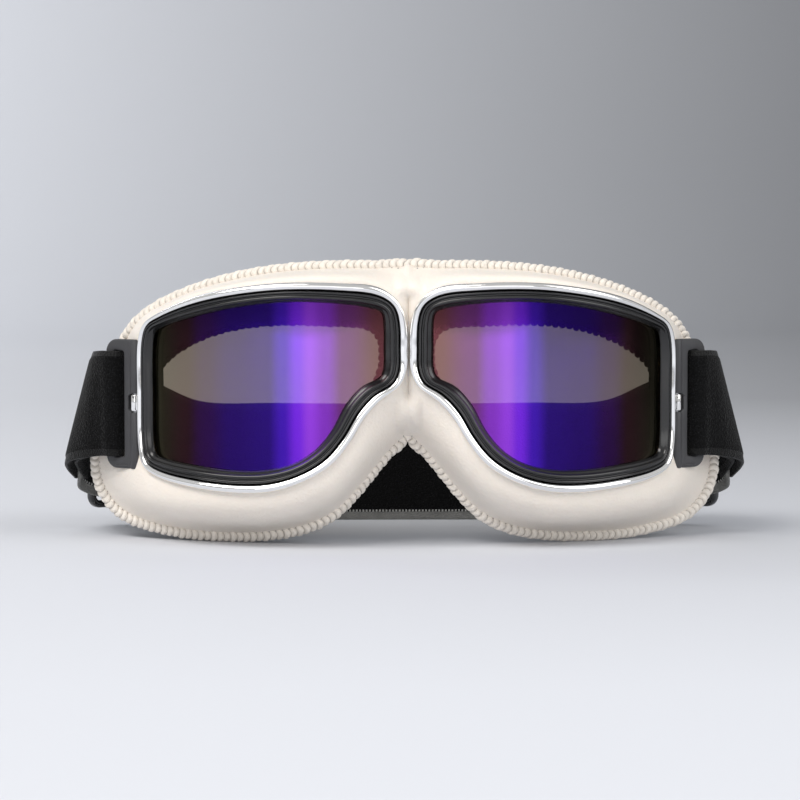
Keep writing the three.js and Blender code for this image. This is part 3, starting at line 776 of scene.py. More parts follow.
def relaxed(points, faces, weight, rounds):
    """Each corner moves towards the mean of its neighbours by its weight, some rounds over."""
    a = faces.ravel()
    b = np.roll(faces, -1, 1).ravel()
    degree = np.bincount(np.concatenate([a, b]), minlength=len(points))[:, None]
    for _ in range(rounds):
        total = np.zeros_like(points)
        np.add.at(total, a, points[b])
        np.add.at(total, b, points[a])
        points = points + (total / degree - points) * weight[:, None]
    return points


def grid_places(number, rows, across):
    """Each welded corner's place across its own half of the skin, counted from 0."""
    place = np.tile(np.arange(across), 2 * rows)
    return place[np.unique(number, return_index=True)[1]]


LEVEL_REACH = 5.5 * MM
BELOW_RIMS = (33.4 * MM, 45.6 * MM, 4 * MM)  # lowest, highest, and how far it takes to fade in
ABOVE_RIMS = (72 * MM, 80.6 * MM, 3 * MM)


def between(z, low, high, fade):
    """1 inside the range of heights, falling to 0 at its two ends."""
    return np.clip((z - low) / fade, 0, 1) * np.clip((high - z) / fade, 0, 1)


def levelled(corners, free):
    """Between the eyes the skin is brought level with itself a little to each side.

    Its depth there is a bell-weighted mean, over height, of the depths at 5 to 6.5 mm out. It
    counts fully on the middle plane and clear of the rims, and fades to nothing at the reach.
    """
    out, z = np.abs(corners[:, 0]), corners[:, 2]
    beside = np.flatnonzero((out > 5 * MM) & (out < 6.5 * MM) & free)
    fill = np.flatnonzero((out < LEVEL_REACH) & free)
    bell = np.exp(-(((z[fill][:, None] - z[beside][None]) / (1.4 * MM)) ** 2)) + 1e-12
    depth = (bell * corners[beside, 1]).sum(1) / bell.sum(1)
    near = np.clip(1.5 - 1.5 * out[fill] / LEVEL_REACH, 0, 1)
    clear = between(z[fill], *BELOW_RIMS) + between(z[fill], *ABOVE_RIMS)
    share = near**2 * (3 - 2 * near) * clear
    corners[fill, 1] += (depth - 0.25 * MM - corners[fill, 1]) * share
    return corners


def seam_points(seam):
    """The seam in space; over the nose, where the halves join, it follows the nose line."""
    laid = on_face(seam, SEAM_START)
    nose = spline(NOSE_LINE, np.linspace(0, 1, 400)) * MM
    over = seam[:, 0] <= 0
    z = seam[over, 1]
    share = (z - z.min()) / (z.max() - z.min())
    laid[over, 2] = nose[0, 0] + (nose[-1, 0] - nose[0, 0]) * share
    laid[over, 1] = FRONT + np.interp(laid[over, 2], nose[:, 0], nose[:, 1])
    return laid


def hem_points(seam, tucked):
    """The leather's hem: inside the seam by the hem's width, towards the rim."""
    edge = seam_points(seam)
    inward = unit((tucked - edge) * np.array([1, 0, 1]))
    over = (seam[:, 0] <= 0)[:, None]
    hem = np.where(over, edge, edge + inward * HEM)
    hem[:, 0] = np.maximum(hem[:, 0], 0)
    return hem


class GOGGLES_OT_leather(bpy.types.Operator):
    """The leather cover: swollen from the rims to the stitched seam, one skin over both eyes"""

    bl_idname = "goggles.leather"
    bl_label = "Leather Cover"
    across = 26
    wall = 1.1 * MM

    def execute(self, context):
        sizes = context.scene.goggles_sizes
        colour = tuple(context.scene.goggles_colours.leather)
        nappa = leather_finish(colour, sizes.pitch)
        _, rim, window, seam, _ = stations()
        tucked = eye_point(rim, window, 0.1, 3.5 * MM)
        edge = seam_points(seam)
        hem = hem_points(seam, tucked)
        chord = hem - tucked
        run = np.linalg.norm(chord, axis=1)
        under_plate = np.exp(-(((tucked[:, 2] - 41 * MM) / (19 * MM)) ** 4))
        under_plate *= np.clip((tucked[:, 0] - 62 * MM) / (12 * MM), 0, 1)
        swell = np.clip(1.6 * sizes.puff / run, 0, 0.2) * (1 - 1.2 * under_plate)
        v = np.linspace(0, 1, self.across)
        hump = 6.75 * v * (1 - v) ** 2
        outward = v + swell[:, None] * hump
        backward = v - swell[:, None] * hump
        over_nose = (seam[:, 0] <= 0)[:, None]
        proud = sizes.puff * 0.4 * hump
        proud = proud[None] * (1 - under_plate[:, None])
        points = tucked[:, None] + np.stack([
            chord[:, :1] * outward,
            chord[:, 1:2] * backward - proud,
            chord[:, 2:] * outward,
        ], 2)
        welded = np.zeros(points.shape[:2], bool)
        welded[:, -1] = seam[:, 0] <= 0
        points[welded, 0] = 0
        corners, quads, (corner_u, corner_v), number = both_sides(points, welded)
        near_nose = np.exp(-((corners[:, 0] / (11 * MM)) ** 4))
        grid_v = grid_places(number, len(seam), self.across)
        free = (grid_v > 0) & (grid_v < self.across - 1)
        on_middle = np.abs(corners[:, 0]) < 1e-7
        free |= on_middle & (corners[:, 2] > 33 * MM) & (corners[:, 2] < 81 * MM)
        corners = relaxed(corners, quads, np.where(free, near_nose, 0) * 0.5, 220)
        corners = relaxed(corners, quads, np.where(free, 0.12, 0), 4)
        corners = relaxed(levelled(corners, free), quads, np.where(free, 0.3, 0), 5)
        run = lengths(np.vstack([edge, edge[:1]]))
        spread = np.linalg.norm(points - points[:, -1:], axis=2)
        spread = np.vstack([spread, spread[:1]])
        # Over the nose the skin is counted 9 mm further from the seam, so the painted seam shade
        # and the needle holes stay off it.
        spread[np.vstack([over_nose, over_nose[:1]])[:, 0]] += 9 * MM
        uv = np.stack([run[corner_u], spread[corner_u, corner_v]], -1)
        quads, uv = quads[:, ::-1], uv[:, ::-1]
        piece = mesh_piece("leather_cover", corners, quads, uv.reshape(-1, 2), 180)
        thickened(piece, self.wall)
        smooth = piece.modifiers.new("round", "SUBSURF")
        smooth.levels = smooth.render_levels = 1
        dressed(piece, None, nappa, "cream_leather", "face_pad_right", "face_pad_left")
        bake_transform(piece)
        return {"FINISHED"}


def stitched_loop(seam):
    """The seam's closed line all round both eyes, from the top middle and back."""
    right = seam[seam[:, 0] > 0]
    right = np.vstack([[0, right[0, 1]], right, [0, 31 * MM]])
    whole = np.vstack([right, (right * np.array([-1, 1]))[::-1][1:-1]])
    return whole


def rope(name, line, out, half_width, half_thick, pitch, groove, slant, per_stitch, sides):
    """A whipstitched edge: an oval tube whose section dips in a slanted groove at each stitch.

    The tube's size is 1 less a groove that is deep and narrow between stitches: one less the
    sine of the way along, to a power. The groove's place shifts round the section by `slant`.
    """
    run = lengths(np.vstack([line, line[:1]]))
    stitches = max(8, round(run[-1] / pitch))
    count = stitches * per_stitch
    closed = np.vstack([line, line[:1]])
    at = np.arange(count) / count * run[-1]
    centre = np.stack([np.interp(at, run, closed[:, k]) for k in range(3)], 1)
    closed_out = np.vstack([out, out[:1]])
    away = unit(np.stack([np.interp(at, run, closed_out[:, k]) for k in range(3)], 1))
    along = unit(np.roll(centre, -1, 0) - np.roll(centre, 1, 0))
    away = unit(away - along * np.sum(away * along, 1, keepdims=True))
    through = np.cross(along, away)
    angle = np.arange(sides) / sides * 2 * math.pi
    phase = (np.arange(count) / per_stitch)[:, None] + slant * np.sin(angle)[None]
    dip = (1 - np.abs(np.sin(math.pi * phase))) ** 2
    beat = 0.06 * np.sin(np.floor(phase) * 2.4)
    size = (1 + beat - groove * dip)[..., None]
    section = away[:, None] * (np.cos(angle) * half_width)[None, :, None]
    section = section + through[:, None] * (np.sin(angle) * half_thick)[None, :, None]
    grooves = np.arange(count + 1) / per_stitch
    return grid_piece(name, centre[:, None] + section * size, True, True, grooves, sharp=180)


class GOGGLES_OT_stitched_edge(bpy.types.Operator):
    """Whipstitching: a rope of slanted stitches round the whole outer seam"""

    bl_idname = "goggles.stitched_edge"
    bl_label = "Stitched Edge"

    def execute(self, context):
        sizes = context.scene.goggles_sizes
        thread = thread_finish(tuple(context.scene.goggles_colours.thread))
        _, _, _, seam, _ = stations(1200)
        flat = evenly(stitched_loop(seam), 3000, False)
        flat = softened(flat, 5)
        along = np.roll(flat, -1, 0) - np.roll(flat, 1, 0)
        out = unit(np.stack([-along[:, 1], along[:, 0]], 1))
        middle = flat.mean(0)
        out *= np.sign(np.sum(out * (flat - middle), 1, keepdims=True))
        out = softened(out, 7)
        out = np.stack([out[:, 0], 0.15 * np.ones(len(out)), out[:, 1]], 1)
        line = on_face(flat, SEAM_START) - unit(out) * sizes.rope
        piece = rope(
            "whipstitched_edge", line, unit(out), sizes.rope, 1.6 * MM, sizes.pitch,
            0.46, STITCH_SLANT, 14, 18,
        )
        dressed(piece, None, thread, "cream_thread", "stitched_edge_right", "stitched_edge_left")
        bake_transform(piece)
        return {"FINISHED"}


class GOGGLES_OT_lining(bpy.types.Operator):
    """The brushed lining: from the seam over the face side, round the opening to the frame"""

    bl_idname = "goggles.lining"
    bl_label = "Face Lining"
    wall = 1.0 * MM

    def execute(self, context):
        colour = tuple(context.scene.goggles_colours.lining)
        brushed = plush_finish("brushed_lining", colour, 0.0004).material
        _, rim, window, seam, opening = stations()
        edge = hem_points(seam, eye_point(rim, window, 0.1, 3.5 * MM))
        edge[:, 1] = np.where(seam[:, 0] <= 0, FRONT + 24 * MM, edge[:, 1])
        lip = on_face(opening, OPENING_START)
        inner = eye_point(rim, window, 0.45, frame_back(rim) + 0.6 * MM)
        middle = (edge + lip) / 2 + np.array([0, 4.2, 0]) * MM
        start = edge + np.array([0, 1.0, 0]) * MM
        cheek = lip + unit(lip - inner) * np.array([0.2, 0.9, 0.2]) * MM
        wall = (lip * 0.45 + inner * 0.55)
        rows = np.stack([start, middle, cheek, (lip + wall) / 2, wall, inner], 1)
        count = 34
        share = np.linspace(0, 1, count)
        points = np.stack([spline(row, share) for row in rows])
        welded = np.zeros(points.shape[:2], bool)
        welded[:, 0] = seam[:, 0] <= 0
        points[welded, 0] = 0
        corners, quads, _, number = both_sides(points, welded)
        grid_v = grid_places(number, len(seam), count)
        on_middle = np.abs(corners[:, 0]) < 1e-7
        free = ((grid_v > 0) & (grid_v < count - 1)) | (on_middle & (corners[:, 2] > 33 * MM))
        free &= ~(on_middle & (corners[:, 2] > 81 * MM))
        near_nose = np.exp(-((corners[:, 0] / (8 * MM)) ** 2))
        corners = relaxed(corners, quads, np.where(free, near_nose, 0) * 0.5, 60)
        piece = mesh_piece("brushed_face_lining", corners, quads, None, 180)
        thickened(piece, self.wall)
        nodes = ("face_lining_right", "face_lining_left")
        dressed(piece, None, brushed, "black_lining", *nodes)
        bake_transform(piece)
        for side, sign in SIDES.items():
            out = unit(lip - lip.mean(0))
            ring = rope(
                f"opening_stitching_{side}", mirrored(lip, sign), mirrored(out, sign),
                1.5 * MM, 1.3 * MM, context.scene.goggles_sizes.pitch * 1.1, 0.5, 0.3, 8, 10,
            )
            dressed(ring, HALVES[side], brushed, "black_lining")
        return {"FINISHED"}


# ------------------------------------------------------------------ outriggers and sliders

HINGE = {joint["name"]: joint for joint in frame["record"]["behaviour"]["joints"]}
OUTRIGGER_AT = np.array(HINGE["outrigger_hinge_right"]["pos_m"])
OUTRIGGER_TURN = math.radians(38)
PLATE_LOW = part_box("outrigger_right")[0].z
PLATE_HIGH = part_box("outrigger_right")[1].z
PLATE_LENGTH = 11 * MM
SLOT = (3.9 * MM, 8 * MM)
SLOT_EDGE = 3.4 * MM
PLATE_HALF = 1.0 * MM
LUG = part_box("outrigger_lug_right")


def turned(points, angle, place):
    """Points turned about Z by the angle and moved to a place."""
    c, s = math.cos(angle), math.sin(angle)
    turn = np.array([[c, -s, 0], [s, c, 0], [0, 0, 1]])
    return points @ turn.T + np.asarray(place)


def rounded_outline(low, high, corner, per_corner=8):
    """A rectangle in along and height, its corners rounded by [four] radii, as one loop."""
    radii = np.broadcast_to(corner, 4)
    centres = [
        (high[0] - radii[0], low[1] + radii[0], -90), (high[0] - radii[1], high[1] - radii[1], 0),
        (low[0] + radii[2], high[1] - radii[2], 90), (low[0] + radii[3], low[1] + radii[3], 180),
    ]
    loop = []
    for (x, z, start), radius in zip(centres, radii):
        angle = np.radians(np.linspace(start, start + 90, per_corner))
        loop.append(np.stack([x + radius * np.cos(angle), z + radius * np.sin(angle)], 1))
    return np.vstack(loop)


def plate_ring(name, outer, inner, half, round_edge):
    """A flat plate with a hole: the section from outer to inner edge, its corners rounded.

    Both outlines have the same number of points, joined one to one.
    """
    arc = np.radians(np.linspace(0, 90, 4))
    toward = unit(inner - outer)
    reach = round_edge * (1 - np.cos(arc))
    sink = round_edge * (1 - np.sin(arc))
    rows = []
    for inset, out in [(reach, half - sink)]:
        front_out = [outer + toward * r for r in inset]
        front_in = [inner - toward * r for r in inset]
        rows += [(p, o) for p, o in zip(front_out, out)]
        rows += [(p, o) for p, o in zip(front_in[::-1], out[::-1])]
        rows += [(p, -o) for p, o in zip(front_in, out)]
        rows += [(p, -o) for p, o in zip(front_out[::-1], out[::-1])]
    points = np.stack([np.stack([p[:, 0], 0 * p[:, 0] - o, p[:, 1]], 1) for p, o in rows], 1)
    return points


def turned_post(radius, low, high, bevel, sides=28):
    """An upright pin: a profile with bevelled ends turned about its axis, closed at both ends."""
    profile = np.array([
        [0, low], [radius - bevel, low], [radius - 0.3 * bevel, low + 0.3 * bevel],
        [radius, low + bevel], [radius, high - bevel],
        [radius - 0.3 * bevel, high - 0.3 * bevel], [radius - bevel, high], [0, high],
    ])
    angle = np.arange(sides) / sides * 2 * math.pi
    ring = np.stack([np.cos(angle), np.sin(angle)], 1)
    flat = profile[None, :, :1] * ring[:, None]
    return np.concatenate([flat, np.broadcast_to(profile[None, :, 1:], (sides, 8, 1))], 2)


def box_bar(low, high, bevel, count=6):
    """A bar with rounded long edges: a rounded section in plan carried from low to high."""
    outline = rounded_outline((low[0], low[1]), (high[0], high[1]), bevel, count)
    z = np.array([low[2], low[2] + bevel * 0.4, high[2] - bevel * 0.4, high[2]])
    middle = outline.mean(0)
    shrink = np.array([0.9, 1, 1, 0.9])
    rings = middle + (outline[None] - middle) * shrink[:, None, None]
    heights = np.broadcast_to(z[:, None, None], (4, len(outline), 1))
    return capped(np.concatenate([rings, heights], 2))


class GOGGLES_OT_outriggers(bpy.types.Operator):
    """Slotted strap plates, with their hinge barrels, pins and chrome knuckles"""

    bl_idname = "goggles.outriggers"
    bl_label = "Outriggers"

    def execute(self, context):
        colour = tuple(context.scene.goggles_colours.plate)
        grey = moulded_finish("grey_plastic", colour, 0.46, 0.00006)
        steel = steel_finish()
        chrome = material("polished_chrome")
        notch_low, notch_high = LUG[0].z - 0.4 * MM, LUG[1].z + 0.4 * MM
        outer = rounded_outline((0.6 * MM, PLATE_LOW), (PLATE_LENGTH, PLATE_HIGH),
                                (4 * MM, 4 * MM, 0.8 * MM, 0.8 * MM), 12)
        inner = rounded_outline((SLOT[0], PLATE_LOW + SLOT_EDGE), (SLOT[1], PLATE_HIGH - SLOT_EDGE),
                                0.9 * MM, 12)
        outer, inner = self.with_notch(outer, inner, notch_low, notch_high)
        plate = plate_ring("plate", outer, inner, PLATE_HALF, 0.5 * MM)
        barrels = [(PLATE_LOW, notch_low), (notch_high, PLATE_HIGH)]
        for side, sign in SIDES.items():
            arm = f"arm_{side}"
            place = (OUTRIGGER_AT[0], OUTRIGGER_AT[1], 0)
            made = mirrored(turned(plate, OUTRIGGER_TURN, place), sign)
            piece = grid_piece(f"strap_plate_{side}", made, True, True, sharp=35)
            dressed(piece, arm, grey, "grey_plastic", f"outrigger_{side}")
            for k, (low, high) in enumerate(barrels):
                post = turned_post(1.6 * MM, low, high, 0.3 * MM) + np.array(place)
                name = f"plate_barrel_{side}_{k}"
                barrel = grid_piece(name, mirrored(post, sign), True, sharp=35)
                dressed(barrel, arm, grey, "grey_plastic")
            ridge = self.ridge(sign, place)
            dressed(grid_piece(f"plate_ridge_{side}", ridge, False, True, sharp=180), arm, grey,
                    "grey_plastic")
            knuckle = turned_post(1.5 * MM, LUG[0].z, LUG[1].z, 0.35 * MM) + np.array(place)
            knuckle = grid_piece(f"rim_knuckle_{side}", mirrored(knuckle, sign), True, sharp=35)
            dressed(knuckle, HALVES[side], chrome, "chrome", f"outrigger_lug_{side}")
            tab = box_bar((-2.6 * MM, -1.0 * MM, LUG[0].z + 0.3 * MM),
                          (-0.6 * MM, 1.0 * MM, LUG[1].z - 0.3 * MM), 0.4 * MM)
            tab = mirrored(turned(tab, math.radians(55.4), place), sign)
            dressed(grid_piece(f"rim_tab_{side}", tab, False, True, sharp=35),
                    HALVES[side], chrome, "chrome")
            pin = frame["nodes"][f"outrigger_pin_{side}"]
            pin.data.materials.clear()
            pin.data.materials.append(steel)
        for name in ("bridge_leaf_right", "bridge_leaf_left", "bridge_pin"):
            node = frame["nodes"][name]
            node.data.materials.clear()
            node.data.materials.append(steel)
        return {"FINISHED"}

    def with_notch(self, outer, inner, low, high):
        """The plate's straight inner edge steps in by the notch's depth between two heights."""
        count = 40
        z = np.linspace(outer[:, 1].max() - 0.8 * MM, outer[:, 1].min() + 0.8 * MM, count)[1:-1]
        step = np.clip((high - z) / (0.3 * MM), 0, 1) * np.clip((z - low) / (0.3 * MM), 0, 1)
        edge = np.stack([outer[:, 0].min() + step * 1.7 * MM, z], 1)
        lowest, highest = inner[:, 1].min() + 0.9 * MM, inner[:, 1].max() - 0.9 * MM
        facing = np.stack([0 * z + inner[:, 0].min(), np.clip(z, lowest, highest)], 1)
        at = 36  # after the third corner of the outline
        return (np.vstack([outer[:at], edge, outer[at:]]),
                np.vstack([inner[:at], facing, inner[at:]]))

    def ridge(self, sign, place):
        """The moulded ridge along the plate's lower edge, on its outer face."""
        start, end = 2.4 * MM, PLATE_LENGTH - 3.6 * MM
        along = np.linspace(start, end, 24)
        angle = np.linspace(0, 2 * math.pi, 12, endpoint=False)
        radius = 0.32 * MM * np.clip(np.minimum(along - start, end - along) / MM + 0.2, 0, 1)
        y = -PLATE_HALF + np.sin(angle)[None] * radius[:, None]
        z = PLATE_LOW + 0.9 * MM + np.cos(angle)[None] * radius[:, None]
        points = np.stack([along[:, None] + 0 * z, y, z], 2)
        return mirrored(turned(capped(points), OUTRIGGER_TURN, place), sign)


SLIDER_MID = sum((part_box("strap_slider_right")[k].z for k in (0, 1))) / 2
SLIDER_TURN = math.atan2(*reversed(HINGE["slider_slide_right"]["axis"][:2]))
SLIDER_PLAN = np.array([86.4 * MM, FRONT + 75.2 * MM, 0])
SLIDER_SIZE = (25 * MM, 43 * MM)
SLIDER_RAIL = 2.3 * MM
SLIDER_OUT = 1.6 * MM
SLIDER_THICK = 2.4 * MM
BAR_IN = 5.6 * MM


class GOGGLES_OT_sliders(bpy.types.Operator):
    """Strap sliders: a rounded frame with a raised border, and a middle bar set inwards"""

    bl_idname = "goggles.sliders"
    bl_label = "Strap Sliders"

    def execute(self, context):
        colour = tuple(context.scene.goggles_colours.slider)
        gloss = moulded_finish("gloss_black_plastic", colour, 0.16, 0.00001, 0.6)
        w, h = SLIDER_SIZE[0] / 2, SLIDER_SIZE[1] / 2
        mid = SLIDER_MID
        outer = rounded_outline((-w, mid - h), (w, mid + h), 4 * MM, 10)
        inner = rounded_outline((-w + SLIDER_RAIL, mid - h + SLIDER_RAIL),
                                (w - SLIDER_RAIL, mid + h - SLIDER_RAIL), 1.5 * MM, 10)
        body = plate_ring("frame", outer, inner, SLIDER_THICK / 2, 0.6 * MM)
        body = body - np.array([0, SLIDER_OUT + SLIDER_THICK / 2, 0])
        step = unit(inner - outer)
        border = plate_ring("border", outer + step * 0.5 * MM, outer + step * 0.95 * MM,
                            0.35 * MM, 0.2 * MM)
        inside = border - np.array([0, SLIDER_OUT + 0.1 * MM, 0])
        outside = border - np.array([0, SLIDER_OUT + SLIDER_THICK - 0.1 * MM, 0])
        reach = h - 0.4 * MM
        bar_low = (-2 * MM, BAR_IN - MM, mid - reach)
        bar = box_bar(bar_low, (2 * MM, BAR_IN + MM, mid + reach), 0.8 * MM)
        posts = []
        for way in (1, -1):
            height = mid + way * (reach - 0.9 * MM)
            low = (-2 * MM, -SLIDER_OUT - 1.2 * MM, height - 0.8 * MM)
            posts.append(box_bar(low, (2 * MM, BAR_IN + 0.9 * MM, height + 0.8 * MM), 0.6 * MM))
        for side, sign in SIDES.items():
            adjuster = f"adjuster_{side}"

            def put(name, points, loop_u, loop_v, sharp=35):
                made = mirrored(turned(points, SLIDER_TURN, SLIDER_PLAN), sign)
                piece = grid_piece(f"{name}_{side}", made, loop_u, loop_v, sharp=sharp)
                return dressed(piece, adjuster, gloss, "gloss_black_plastic")

            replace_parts(put("slider_frame", body, True, True), f"strap_slider_{side}")
            put("slider_border_inside", inside, True, True, 60)
            put("slider_border_outside", outside, True, True, 60)
            put("slider_bar", bar, False, True)
            for k, post in enumerate(posts):
                put(f"slider_post_{k}", post, False, True)
            for k, (x, z) in enumerate([(1, 1), (1, -1), (-1, 1), (-1, -1)]):
                pip = self.pip((w - 1.5 * MM) * x, mid + (h - 1.5 * MM) * z)
                put(f"slider_pip_{k}", pip, True, False, 60)
        return {"FINISHED"}

    def pip(self, x, z):
        """A small dome on the inner face, turned about the through direction."""
        angle = np.arange(14) / 14 * 2 * math.pi
        rise = np.radians(np.array([0, 30, 60, 90]))
        radius = 0.55 * MM * np.cos(rise)
        lift = -SLIDER_OUT - 0.05 * MM + 0.4 * MM * np.sin(rise)
        radius = np.concatenate([[0], radius])
        lift = np.concatenate([[-SLIDER_OUT - 0.3 * MM], lift])
        px = x + np.cos(angle)[:, None] * radius[None]
        pz = z + np.sin(angle)[:, None] * radius[None]
        return np.stack([px, lift[None] + 0 * px, pz], 2)


# ------------------------------------------------------------------ the strap

STRAP_WIDTH = 37 * MM
SLOT_STRAP = 31.4 * MM
LOOP_OUT = 2.4 * MM


def outrigger_point(along, out):
    c, s = math.cos(OUTRIGGER_TURN), math.sin(OUTRIGGER_TURN)
    return OUTRIGGER_AT[0] + along * c + out * s, OUTRIGGER_AT[1] + along * s - out * c


def slider_point(along, out):
    c, s = math.cos(SLIDER_TURN), math.sin(SLIDER_TURN)
    return SLIDER_PLAN[0] + along * c + out * s, SLIDER_PLAN[1] + along * s - out * c


def plan(x, y):
    """Millimetres from the middle plane and from the rims' front, in metres."""
    return x * MM, FRONT + y * MM


SLOT_MID = 40.6 * MM
SIDE_LOOP = [
    (*plan(97.6, 60), 34.1 * MM, 6 * MM, 36 * MM),
    (*plan(98.2, 54), 36.9 * MM, 8.4 * MM, 35.2 * MM),
    (*plan(97.7, 46.2), 38.8 * MM, 8.4 * MM, 33.4 * MM),
    (*plan(94.6, 39.8), 40 * MM, 4 * MM, 32 * MM),
    (*outrigger_point(PLATE_LENGTH, LOOP_OUT), SLOT_MID, 0, SLOT_STRAP),
    (*outrigger_point(8.4 * MM, LOOP_OUT + 0.1 * MM), SLOT_MID, 0, SLOT_STRAP),
    (*outrigger_point(6.2 * MM, 1.3 * MM), SLOT_MID, 0, SLOT_STRAP),
    (*outrigger_point(6.2 * MM, -1.3 * MM), SLOT_MID, 0, SLOT_STRAP),
    (*outrigger_point(8.4 * MM, -LOOP_OUT - 0.1 * MM), SLOT_MID, 0, SLOT_STRAP),
    (*outrigger_point(PLATE_LENGTH, -LOOP_OUT), SLOT_MID, 0, SLOT_STRAP),
    (*plan(92.2, 43.2), 39.6 * MM, 4 * MM, 31 * MM),
    (*plan(95.2, 48.4), 38 * MM, 8.4 * MM, 31.6 * MM),
    (*plan(95, 54.4), 36 * MM, 8.4 * MM, 33.2 * MM),
    (*plan(94.4, 58.8), 33.4 * MM, 6.2 * MM, 34.6 * MM),
]
LAYER = 2.3 * MM
TAIL = [
    (*slider_point(-9.4 * MM, -LAYER - 0.8 * MM), SLIDER_MID + MM, MM, STRAP_WIDTH),
    (*slider_point(-6 * MM, -LAYER - 0.6 * MM), SLIDER_MID + MM, MM, STRAP_WIDTH),
    (*slider_point(2 * MM, 0.1 * MM - BAR_IN + LAYER), SLIDER_MID, 0, STRAP_WIDTH),
    (*slider_point(4.6 * MM, -BAR_IN), SLIDER_MID, 0, STRAP_WIDTH),
    (*slider_point(2 * MM, -0.1 * MM - BAR_IN - LAYER), SLIDER_MID, 0, STRAP_WIDTH),
    (*slider_point(-8 * MM, -0.1 * MM - BAR_IN - LAYER), SLIDER_MID + MM, MM, STRAP_WIDTH),
]
DROP = STRAP_WIDTH / 2
BACK_HALF = [
    (*plan(96.3, 57.6), 33.6 * MM, 6 * MM, 35 * MM),
    (*plan(97, 61.9), 31.9 * MM, 5 * MM, 38.4 * MM),
    (*slider_point(-10 * MM, 0.2 * MM), SLIDER_MID + MM, 0.4 * MM, 37.8 * MM),
    (*slider_point(0, 0), SLIDER_MID, 0, STRAP_WIDTH),
    (*slider_point(11 * MM, 0), SLIDER_MID - 0.9 * MM, 0, 36 * MM),
    (*plan(64, 88.6), DROP + 1.2 * MM, 0, STRAP_WIDTH),
    (*plan(40, 91.6), DROP + 0.3 * MM, 0, STRAP_WIDTH),
]
BACK_RUN = [
    *BACK_HALF,
    (*plan(0, 93), DROP, 0, STRAP_WIDTH),
    *[(-row[0], *row[1:]) for row in BACK_HALF[::-1]],
]


def ribbon(name, rows, count, thick, side=1):
    """A strap through rows of [x, y, middle height, lean, width].

    Its upper and lower edges are two curves. At each step the section between them is a
    rounded strip: plump in the middle, thinner at the two selvages.
    """
    rows = np.array(rows, float)
    lean = np.sign(rows[:, :1]) * rows[:, 3:4] / 2
    lean = np.hstack([lean, 0 * lean, -rows[:, 4:5] / 2])
    share = np.linspace(0, 1, count)
    upper, lower = [spline(rows[:, :3] - way * lean, share) for way in (1, -1)]
    along = np.gradient((upper + lower) / 2, axis=0)
    across = upper - lower
    through = unit(np.cross(along, across))
    angle = np.linspace(0, 2 * math.pi, 48, endpoint=False)
    wide = np.sign(np.cos(angle)) * np.abs(np.cos(angle)) ** 0.35
    plump = np.where(np.abs(wide) > 0.86, 0.72, 1.0)
    deep = np.sign(np.sin(angle)) * np.abs(np.sin(angle)) ** 0.3 * plump
    middle = (upper + lower) / 2
    points = middle[:, None] + across[:, None] * (wide / 2)[None, :, None]
    points = points + through[:, None] * (deep * thick / 2)[None, :, None]
    run = lengths(middle)
    u_run = np.concatenate([[0, 0], run, [run[-1]] * 3])
    v_run = np.append(wide, wide[0])
    return grid_piece(
        name, mirrored(capped(points), side), False, True, u_run=u_run, v_run=v_run, sharp=60
    )


class GOGGLES_OT_strap(bpy.types.Operator):
    """The plush elastic strap: side loops, tails and the run behind the head"""

    bl_idname = "goggles.strap"
    bl_label = "Strap"

    def execute(self, context):
        colours = context.scene.goggles_colours
        thick = context.scene.goggles_sizes.nap
        elastic, selvage, hem = [tuple(c) for c in (colours.elastic, colours.selvage, colours.hem)]
        plush = strap_finish("black_plush_elastic", elastic, selvage, darker(selvage, 0.6), False)
        # The back run's hem takes the grey hem colour, a painted sheen of the overhead light on its
        # black satin.
        hemmed = strap_finish("hemmed_plush_elastic", elastic, selvage, hem, True)
        back = ribbon("strap_back_run", BACK_RUN, 420, thick)
        dressed(back, None, hemmed, "black_elastic", "strap_back")
        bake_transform(back)
        for side, sign in SIDES.items():
            loop = ribbon(f"strap_loop_{side}", SIDE_LOOP, 260, thick, sign)
            dressed(loop, None, plush, "black_elastic", f"strap_side_{side}")
            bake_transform(loop)
            tail = ribbon(f"strap_end_{side}", TAIL, 120, thick, sign)
            dressed(tail, f"adjuster_{side}", plush, "black_elastic", f"strap_tail_{side}")
        return {"FINISHED"}


# ------------------------------------------------------------------ the stage

CAMERA_DISTANCE = 0.855
CAMERA_RISE = 3.4
CAMERA_YAW = 1.2
CAMERA_AIM = (-0.0026, FRONT, 0.0436)
FIELD = math.radians(15.25)


def area_light(name, place, aim, size, power, colour=(1, 1, 1)):
    light = bpy.data.lights.new(name, "AREA")
    light.shape = "RECTANGLE"
    light.size, light.size_y = size
    light.energy = power
    light.color = colour
    lamp = bpy.data.objects.new(name, light)
    lamp.location = place
    lamp.rotation_mode = "QUATERNION"
    lamp.rotation_quaternion = (Vector(aim) - Vector(place)).to_track_quat("-Z", "Y")
    bpy.context.scene.collection.objects.link(lamp)
    return lamp


